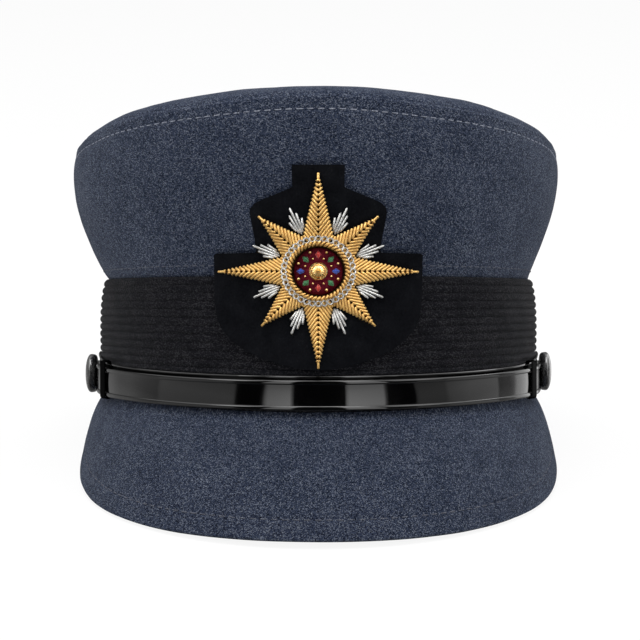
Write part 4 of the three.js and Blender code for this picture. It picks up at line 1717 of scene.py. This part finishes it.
# %% Rope
ROPE_RADIUS = 9.7
ROPE_THICKNESS = 1.9
ROPE_BEADS = 44
ROPE_TWIST = math.radians(48)
rope_lift = STAR_SEAT + STAR_CREST + GAP + ROPE_THICKNESS / 2
rope_beads = []
for i in range(ROPE_BEADS):
    twin = copy_piece(bead)
    spot = on_ray(i * RAY_COUNT / ROPE_BEADS, ROPE_RADIUS, 0, rope_lift)
    turn = Matrix.Rotation(-2 * math.pi * i / ROPE_BEADS + ROPE_TWIST, 4, "Z")
    twin.data.transform(Matrix.Translation(spot * MM) @ turn)
    rope_beads.append(twin)
bpy.data.objects.remove(bead)
rope = join(rope_beads)
bend_on_front(rope)
smooth(rope, 60)
finish_piece(rope, "rope_ring", "gold", gold_wire, "badge_rope_ring")

# %% [markdown]
# ## The velvet cushion
# The badge's middle is a maroon velvet cushion, stuffed so that it is nearly flat with a round
# edge. A stack of rings gives it.

# %% Velvet cushion
CUSHION_SIDES = 48
CUSHION_ROWS = (
    (0.3, 0.05), (7.9, 0.1), (8.3, 0.35), (8.3, 0.9), (7.9, 1.35), (7.0, 1.62),
    (5.0, 1.72), (2.5, 1.76), (0.3, 1.78),
)  # radius and height above the star's seat


def make_cushion():
    let_go()
    rows = [(radius, radius, STAR_SEAT + height, 0) for radius, height in CUSHION_ROWS]
    cushion = stack_rings(rows, CUSHION_SIDES)
    fill_ends(cushion)
    outwards(cushion)
    return cushion


velvet = make_cushion()
bend_on_front(velvet)
smooth(velvet, 60)
print("cushion faces:", len(velvet.data.polygons))

# %% [markdown]
# Velvet is dark where the eye looks into its pile and lighter at its edges, which is the sheen.
# The pile also lies this way and that, so a broad noise shades it and a fine one stands for its
# hairs.


# %% Maroon velvet
def make_velvet():
    colour = (0.075, 0.006, 0.012, 1)
    finish = {"roughness": 1.0, "sheen_weight": 0.25, "sheen_roughness": 0.35, "specular_ior_level": 0.0}
    material, tree, shader = new_material("MaroonVelvet", colour, **finish)
    shader.inputs["Sheen Tint"].default_value = (0.8, 0.15, 0.2, 1)
    where = add_node(tree, "TexCoord").outputs["Object"]
    pile = add_node(tree, "TexNoise", {"Scale": 1800.0, "Detail": 2.0})
    wire(tree, (where, pile.inputs["Vector"]))
    lie = add_node(tree, "TexNoise", {"Scale": 260.0, "Detail": 2.0})
    wire(tree, (where, lie.inputs["Vector"]))
    lying = calculate(tree, "MULTIPLY", lie.outputs[0], 0.5)
    shade = calculate(tree, "MULTIPLY_ADD", pile.outputs[0], 0.5, lying)
    stops = ((0.35, (0.035, 0.002, 0.005, 1)), (0.65, (0.13, 0.012, 0.022, 1)))
    wire(tree, (ramp(tree, shade, stops), shader.inputs["Base Color"]))
    bump(tree, shade, 0.5, 0.25 * MM, shader)
    return material


finish_piece(velvet, "velvet_cushion", "velvet", make_velvet(), "badge_velvet")

# %% [markdown]
# ## Satin lozenges
# Eight small lozenges lie round the cushion, padded and covered with satin stitch. One is a four
# sided cone with a blunt tip, bevelled and drawn out to its length.

# %% One lozenge
STONE_LENGTH = 3.4
STONE_WIDTH = 2.4
STONE_HEIGHT = 1.4
CONE_DEPTH = 0.8


def make_lozenge():
    let_go()
    bpy.ops.mesh.primitive_cone_add(vertices=4, radius1=MM, radius2=0.35 * MM, depth=CONE_DEPTH * MM)
    bpy.ops.object.mode_set(mode="EDIT")
    bpy.ops.mesh.select_all(action="SELECT")
    bpy.ops.mesh.bevel(offset=0.18 * MM, segments=3, affect="EDGES")
    size = (STONE_WIDTH / 2, STONE_LENGTH / 2, STONE_HEIGHT / CONE_DEPTH)
    bpy.ops.transform.resize(value=size, center_override=(0, 0, 0))
    close_edit()
    piece = bpy.context.object
    cloth_layer(piece.data)
    flat_map(piece)
    smooth(piece, 50)
    return piece


lozenge = make_lozenge()
print("a lozenge has", len(lozenge.data.polygons), "faces")

# %% [markdown]
# Satin stitch is silk floss laid side by side. A wave across the lozenge shades the floss and
# raises it. Round the ring red and blue take turns, with green between them.


# %% Satin and the ring of lozenges
def make_satin(name, deep, bright):
    finish = {"roughness": 0.38, "sheen_weight": 0.3, "specular_ior_level": 0.5}
    material, tree, shader = new_material(name, bright, **finish)
    where = add_node(tree, "UVMap", uv_map="Cloth").outputs[0]
    floss = add_node(tree, "TexWave", {"Scale": 560.0, "Distortion": 1.0, "Detail": 1.0}, bands_direction="X")
    wire(tree, (where, floss.inputs["Vector"]))
    wire(tree, (ramp(tree, floss.outputs["Fac"], ((0.1, deep), (0.7, bright))), shader.inputs["Base Color"]))
    bump(tree, floss.outputs["Fac"], 0.5, 0.12 * MM, shader)
    return material


satins = {
    "satin_red": make_satin("RedSatin", (0.2, 0.006, 0.004, 1), (0.62, 0.03, 0.018, 1)),
    "satin_green": make_satin("GreenSatin", (0.004, 0.05, 0.014, 1), (0.014, 0.2, 0.055, 1)),
    "satin_blue": make_satin("BlueSatin", (0.004, 0.015, 0.12, 1), (0.012, 0.07, 0.5, 1)),
}
STONE_ORDER = ("satin_red", "satin_green", "satin_blue", "satin_green")
STONE_CIRCLE = 5.9
for i in range(RAY_COUNT):
    colour = STONE_ORDER[i % len(STONE_ORDER)]
    stone = copy_piece(lozenge)
    spot = on_ray(i, STONE_CIRCLE, 0, STAR_SEAT + STAR_CREST + GAP + STONE_HEIGHT / 2)
    turn = Matrix.Rotation(-2 * math.pi * i / RAY_COUNT, 4, "Z")
    stone.data.transform(Matrix.Translation(spot * MM) @ turn)
    bend_on_front(stone)
    finish_piece(stone, "satin_lozenge_%d" % (i + 1), colour, satins[colour], "badge_stone_%d" % (i + 1))
bpy.data.objects.remove(lozenge)

# %% [markdown]
# ## The gilt boss
# The boss is struck metal, not wire: a stack of rings makes a stepped dome, and sixteen small
# flutes are pressed into it.

# %% Boss
BOSS_RADIUS = 3.1
BOSS_HEIGHT = 1.8
BOSS_SIDES = 64
DOME_RADIUS = 2.35
DOME_BASE = 0.6
FLUTES = 16
FLUTE_DEPTH = 0.16


def make_boss():
    seat = STAR_SEAT + STAR_CREST + GAP
    rows = [(0.2, 0.0), (BOSS_RADIUS, 0.0), (BOSS_RADIUS, 0.35), (2.9, 0.55), (2.6, 0.5), (2.45, 0.62)]
    for i in range(9):
        turn = math.radians(90 - 85 * i / 8)
        rows.append((DOME_RADIUS * math.sin(turn), DOME_BASE + (BOSS_HEIGHT - DOME_BASE) * math.cos(turn)))
    boss = stack_rings([(radius, radius, seat + height, 0) for radius, height in rows], BOSS_SIDES)
    fill_ends(boss)
    for vertex in boss.data.vertices:
        radius = vertex.co.xy.length / MM
        if 0.6 < radius < 2.45 and vertex.co.z > (seat + 0.5) * MM:
            flute = 0.5 + 0.5 * math.cos(FLUTES * math.atan2(vertex.co.y, vertex.co.x))
            vertex.co.z -= FLUTE_DEPTH * flute * MM
    outwards(boss)
    return boss


boss = make_boss()
bend_on_front(boss)
smooth(boss, 30)
print("boss faces:", len(boss.data.polygons))

# %% [markdown]
# Struck gilt is smoother than wire. Where it has been rubbed it is brighter and shinier, and the
# same noise says where.


# %% Gilt
def make_gilt():
    colour = (0.88, 0.62, 0.26, 1)
    material, tree, shader = new_material("StruckGilt", colour, metallic=1.0, roughness=0.22)
    where = add_node(tree, "TexCoord").outputs["Object"]
    wear = add_node(tree, "TexNoise", {"Scale": 700.0, "Detail": 4.0})
    wire(tree, (where, wear.inputs["Vector"]))
    stops = ((0.3, (0.6, 0.37, 0.13, 1)), (0.65, (0.92, 0.66, 0.29, 1)))
    wire(tree, (ramp(tree, wear.outputs[0], stops), shader.inputs["Base Color"]))
    wire(tree, (ramp(tree, wear.outputs[0], ((0.3, 0.34), (0.7, 0.16))), shader.inputs["Roughness"]))
    bump(tree, wear.outputs[0], 0.15, 0.15 * MM, shader)
    return material


gilt = make_gilt()
finish_piece(boss, "gilt_boss", "gold", gilt, "badge_boss")

# %% [markdown]
# Gold knots lie between the lozenges, a larger one outside and a smaller one inside. They are
# small spheres, copied like the beads. After them no more strands are needed, so the first one
# is removed.

# %% Knots
KNOTS = ((7.1, 0.55), (4.7, 0.42))  # each knot's circle and radius


def make_knots():
    let_go()
    bpy.ops.mesh.primitive_ico_sphere_add(subdivisions=2, radius=MM)
    knot = bpy.context.object
    knots = []
    for i in range(RAY_COUNT):
        for circle, radius in KNOTS:
            twin = copy_piece(knot)
            spot = on_ray(i + 0.5, circle, 0, STAR_SEAT + STAR_CREST + GAP + radius * 0.6)
            twin.data.transform(Matrix.Translation(spot * MM) @ Matrix.Diagonal((radius, radius, radius, 1)))
            knots.append(twin)
    bpy.data.objects.remove(knot)
    return join(knots)


knots = make_knots()
bend_on_front(knots)
smooth(knots, 60)
finish_piece(knots, "gold_knots", "gold", gilt)
bpy.data.objects.remove(strand)

# %% [markdown]
# ## Stitches
# Three rows of stitches show: under the crown's rim, above the band and along the peak. One
# stitch is a small cube, drawn long and bevelled round.

# %% One stitch
STITCH_LENGTH = 2.3
STITCH_RADIUS = 0.25


def make_stitch():
    let_go()
    bpy.ops.mesh.primitive_cube_add(size=2 * STITCH_RADIUS * MM)
    bpy.ops.object.mode_set(mode="EDIT")
    bpy.ops.mesh.select_all(action="SELECT")
    size = (STITCH_LENGTH / (2 * STITCH_RADIUS), 1, 0.8)
    bpy.ops.transform.resize(value=size, center_override=(0, 0, 0))
    bpy.ops.mesh.bevel(offset=0.18 * MM, segments=2, affect="EDGES")
    close_edit()
    piece = bpy.context.object
    smooth(piece, 60)
    return piece


stitch = make_stitch()
print("a stitch has", len(stitch.data.polygons), "faces")

# %% [markdown]
# A row is a path over the cloth. The path is first pulled onto the finished cloth, and then
# copies of the stitch are set along it at even steps, each turned to the path.

# %% Sewing a row
STITCH_PITCH = 3.8


def sew(name, path, cloth, material):
    """Copies the stitch along a row of places, each pulled onto the finished cloth beside it."""
    back = STAND.inverted()
    path = [back @ cloth.closest_point_on_mesh(STAND @ place)[1] for place in path]
    total = sum((b - a).length for a, b in zip(path, path[1:]))
    count = int(total / (STITCH_PITCH * MM))
    pieces = []
    step = total / count
    walked = 0.0
    index = 0
    for i in range(count):
        wanted = (i + 0.5) * step
        while walked + (path[index + 1] - path[index]).length < wanted:
            walked += (path[index + 1] - path[index]).length
            index += 1
        way = (path[index + 1] - path[index]).normalized()
        spot = path[index] + way * (wanted - walked)
        twin = copy_piece(stitch)
        twin.data.transform(Matrix.Translation(spot) @ way.to_track_quat("X", "Z").to_matrix().to_4x4())
        pieces.append(twin)
    finish_piece(join(pieces), name, "cloth", material)


def make_thread(name, colour, pale):
    material, tree, shader = new_material(name, colour, roughness=0.8, specular_ior_level=0.1)
    where = add_node(tree, "TexCoord").outputs["Object"]
    twist = add_node(tree, "TexNoise", {"Scale": 1600.0, "Detail": 2.0})
    wire(tree, (where, twist.inputs["Vector"]))
    wire(tree, (ramp(tree, twist.outputs[0], ((0.35, colour), (0.7, pale))), shader.inputs["Base Color"]))
    bump(tree, twist.outputs[0], 0.4, 0.1 * MM, shader)
    return material


thread = make_thread("GreyThread", (0.12, 0.132, 0.165, 1), (0.3, 0.32, 0.38, 1))
dark_thread = make_thread("SlateThread", (0.045, 0.05, 0.068, 1), (0.13, 0.135, 0.16, 1))
print("threads:", thread.name, dark_thread.name)

# %% [markdown]
# Two rows run round the crown's wall in the grooves that the thread pulls, the upper one in a
# paler grey. The third follows the peak's edge.

# %% Three rows
WALL_PATH_STEPS = 400
PEAK_PATH_STEPS = 300
PEAK_SEAM_ANGLE = math.radians(82)


def wall_path(share):
    """A closed row of places round the wall at a share of its height."""
    half_wide, half_long, height, tilt = wall_row(share)
    places = []
    for i in range(WALL_PATH_STEPS + 1):
        angle = math.pi * (2 * i / WALL_PATH_STEPS - 1)
        y = -half_long * math.cos(angle)
        z = height + y * math.tan(tilt) + front_rise(angle, share)
        x = half_wide * math.sin(angle) + crown_sway(share)
        places.append(Vector((x, y, z)) * MM)
    return places


sew("rim_stitches", wall_path(1 - SEAM_TO_STITCH / WALL_HEIGHT), crown_wall, thread)
sew("foot_stitches", wall_path(FOOT_TO_STITCH / WALL_HEIGHT), crown_wall, dark_thread)

peak_path = []
for i in range(PEAK_PATH_STEPS + 1):
    angle = (2 * i / PEAK_PATH_STEPS - 1) * PEAK_SEAM_ANGLE
    share = max(1 - PEAK_STITCH / peak_depth(angle), 0.05)
    peak_path.append(peak_point(angle, share, 0.12))
sew("peak_stitches", peak_path, peak, dark_thread)
bpy.data.objects.remove(stitch)

# %% [markdown]
# ## The studio
# The floor is a wide pale plane. To the camera it glows almost white, so that the hat stands on
# clean ground, and a small part of its own shading keeps the hat's soft shadow. Mirrors don't see
# it: the strap mirrors the room alone.

# %% Floor
FLOOR_SIZE = 30
FLOOR_GLOW = 0.9


def make_floor_finish():
    finish = {"roughness": 1.0, "specular_ior_level": 0.0}
    material, tree, shader = new_material("PaleFloor", (0.88, 0.88, 0.88, 1), **finish)
    grain = add_node(tree, "TexNoise", {"Scale": 3.0, "Detail": 2.0})
    tone = ramp(tree, grain.outputs[0], ((0.3, 0.87), (0.7, 0.89)))
    glow = add_node(tree, "Emission", {"Color": (1, 1, 1, 1), "Strength": 1.0})
    path = add_node(tree, "LightPath")
    both = add_node(tree, "MixShader")
    wire(
        tree,
        (tone, shader.inputs["Base Color"]),
        (calculate(tree, "MULTIPLY", path.outputs["Is Camera Ray"], FLOOR_GLOW), both.inputs[0]),
        (shader.outputs[0], both.inputs[1]),
        (glow.outputs[0], both.inputs[2]),
        (both.outputs[0], tree.nodes["Material Output"].inputs[0]),
    )
    return material


bpy.context.scene.view_settings.view_transform = "Standard"
let_go()
bpy.ops.mesh.primitive_plane_add(size=FLOOR_SIZE)
floor = bpy.context.object
floor.name = "floor"
floor.data.materials.append(make_floor_finish())
floor.visible_glossy = False
print("floor:", FLOOR_SIZE, "m wide")

# %% [markdown]
# The room is a ramp that runs once round the hat. Seen in the patent leather it has tall bright
# panels with dark gaps between them. A second ramp runs from the ground up and says how bright
# the panels are at each height, and a third adds a pale skirt and a ceiling. The soft walls
# light the cloth.

# %% The room's walls
BLACK = 0.004
MIRRORED_PANELS = (
    (-175, 0.04), (-150, 0.2), (-130, 0.42), (-97, 0.33), (-95, 0.52), (-49.5, 0.56), (-47.5, BLACK),
    (-32.5, BLACK), (-30, 1.7), (-16.4, 2.2), (-14.9, BLACK), (15.8, BLACK), (17.3, 2.45), (38, 1.95),
    (39.8, BLACK), (56.5, BLACK), (58, 0.38), (75, 0.36), (77, 0.56), (90, 0.72), (111, 0.68),
    (112.5, 0.22), (120.5, 0.22), (122.5, 1.15), (150, 1.5), (160, 0.1), (175, 0.04),
)
PANEL_GAIN = ((-0.4, 0.0), (-0.24, 0.9), (0.04, 1.3), (0.2, 1.0), (0.34, 0.45), (0.5, 2.2), (0.9, 1.0))
SKIRT_AND_CEILING = (
    (-0.9, 0.2), (-0.4, 0.35), (-0.24, 0.2), (-0.1, 0.0), (0.36, 0.0), (0.6, 0.6), (0.9, 1.5),
)
SOFT_WALLS = ((-140, 0.8), (-100, 1.3), (-60, 1.2), (-35, 0.1), (35, 0.1), (60, 1.2), (100, 1.3), (140, 0.8))
SOFT_CEILING = ((0.5, 0.0), (0.8, 1.0))


def round_room(stops):
    """Stops at angles from the front, in degrees, as places on a ramp that runs once round."""
    return [(0.5 + angle / 360, tone) for angle, tone in stops]


def up_room(stops):
    """Stops at the sine of a height above the horizon, as places on a ramp from ground to top."""
    return [(0.5 + rise / 2, tone) for rise, tone in stops]


print("stops round the room:", len(MIRRORED_PANELS))

# %% [markdown]
# The kind of ray decides which light it sees: a glossy ray the panels, the camera an even white,
# and every other ray the soft walls with a bright ceiling.

# %% The room
SOFT_LIGHT = 0.64


def make_room():
    world = bpy.data.worlds.new("Room")
    bpy.context.scene.world = world
    world.use_nodes = True
    tree = world.node_tree
    tree.nodes.clear()
    way = add_node(tree, "TexCoord").outputs["Generated"]
    parts = add_node(tree, "SeparateXYZ")
    wire(tree, (way, parts.inputs[0]))
    back = calculate(tree, "MULTIPLY", parts.outputs[1], -1.0)
    azimuth = calculate(tree, "ARCTAN2", parts.outputs[0], back)
    around = calculate(tree, "MULTIPLY_ADD", azimuth, 0.5 / math.pi, 0.5)
    rise = calculate(tree, "MULTIPLY_ADD", parts.outputs[2], 0.5, 0.5)
    panels = ramp(tree, around, round_room(MIRRORED_PANELS))
    gain = ramp(tree, rise, up_room(PANEL_GAIN))
    ends = ramp(tree, rise, up_room(SKIRT_AND_CEILING))
    walls = ramp(tree, around, round_room(SOFT_WALLS))
    ceiling = ramp(tree, rise, up_room(SOFT_CEILING))
    mirrored = add_node(tree, "Background", {"Strength": 1.0})
    soft = add_node(tree, "Background", {"Strength": SOFT_LIGHT})
    seen = add_node(tree, "Background", {"Color": (1, 1, 1, 1), "Strength": 1.0})
    glossy, eye = add_node(tree, "MixShader"), add_node(tree, "MixShader")
    path = add_node(tree, "LightPath")
    out = add_node(tree, "OutputWorld")
    beyond = calculate(tree, "MULTIPLY", ends, walls)
    wire(
        tree,
        (calculate(tree, "MULTIPLY_ADD", panels, gain, beyond), mirrored.inputs[0]),
        (blend_colours(tree, ceiling, walls, (1.0, 1.0, 1.0, 1)), soft.inputs[0]),
        (path.outputs["Is Glossy Ray"], glossy.inputs[0]),
        (soft.outputs[0], glossy.inputs[1]),
        (mirrored.outputs[0], glossy.inputs[2]),
        (path.outputs["Is Camera Ray"], eye.inputs[0]),
        (glossy.outputs[0], eye.inputs[1]),
        (seen.outputs[0], eye.inputs[2]),
        (eye.outputs[0], out.inputs[0]),
    )


make_room()
print("room:", len(bpy.context.scene.world.node_tree.nodes), "nodes")

# %% [markdown]
# Three lamps shape the hat: a key from the left, a weaker fill from the right, and the strongest
# nearly straight above.

# %% Lamps
LAMP_AIM = (0, 0, 0.08)


def add_lamp(name, place, size, watts):
    let_go()
    bpy.ops.object.light_add(type="AREA", location=place)
    lamp = bpy.context.object
    lamp.name = name
    lamp.data.size = size
    lamp.data.energy = watts
    way = Vector(LAMP_AIM) - Vector(place)
    lamp.rotation_mode = "QUATERNION"
    lamp.rotation_quaternion = way.to_track_quat("-Z", "Y")


add_lamp("key_lamp", (-1.6, -1.0, 1.6), 1.0, 12)
add_lamp("fill_lamp", (1.6, -0.9, 1.3), 1.2, 8)
add_lamp("top_lamp", (0, -0.2, 2.0), 1.4, 34)

# %% [markdown]
# ## The camera
# It looks at the hat's front from a little above, straight along the upright hat's own level, so
# the band's lower edge and the peak show and the crown's top does not.

# %% Camera
EYE = Vector((0.0006, -0.9685, 0.2534))
LOOK = Vector((0, math.cos(LEAN), -math.sin(LEAN)))
SENSOR_WIDTH = 36
FOCAL_LENGTH = 143.2
bpy.ops.object.camera_add(location=EYE)
camera = bpy.context.object
camera.data.sensor_width = SENSOR_WIDTH
camera.data.lens = FOCAL_LENGTH
camera.rotation_mode = "QUATERNION"
camera.rotation_quaternion = LOOK.to_track_quat("-Z", "Y")
bpy.context.scene.camera = camera
print("the camera sees", round(math.degrees(2 * math.atan(SENSOR_WIDTH / 2 / FOCAL_LENGTH)), 1), "degrees")
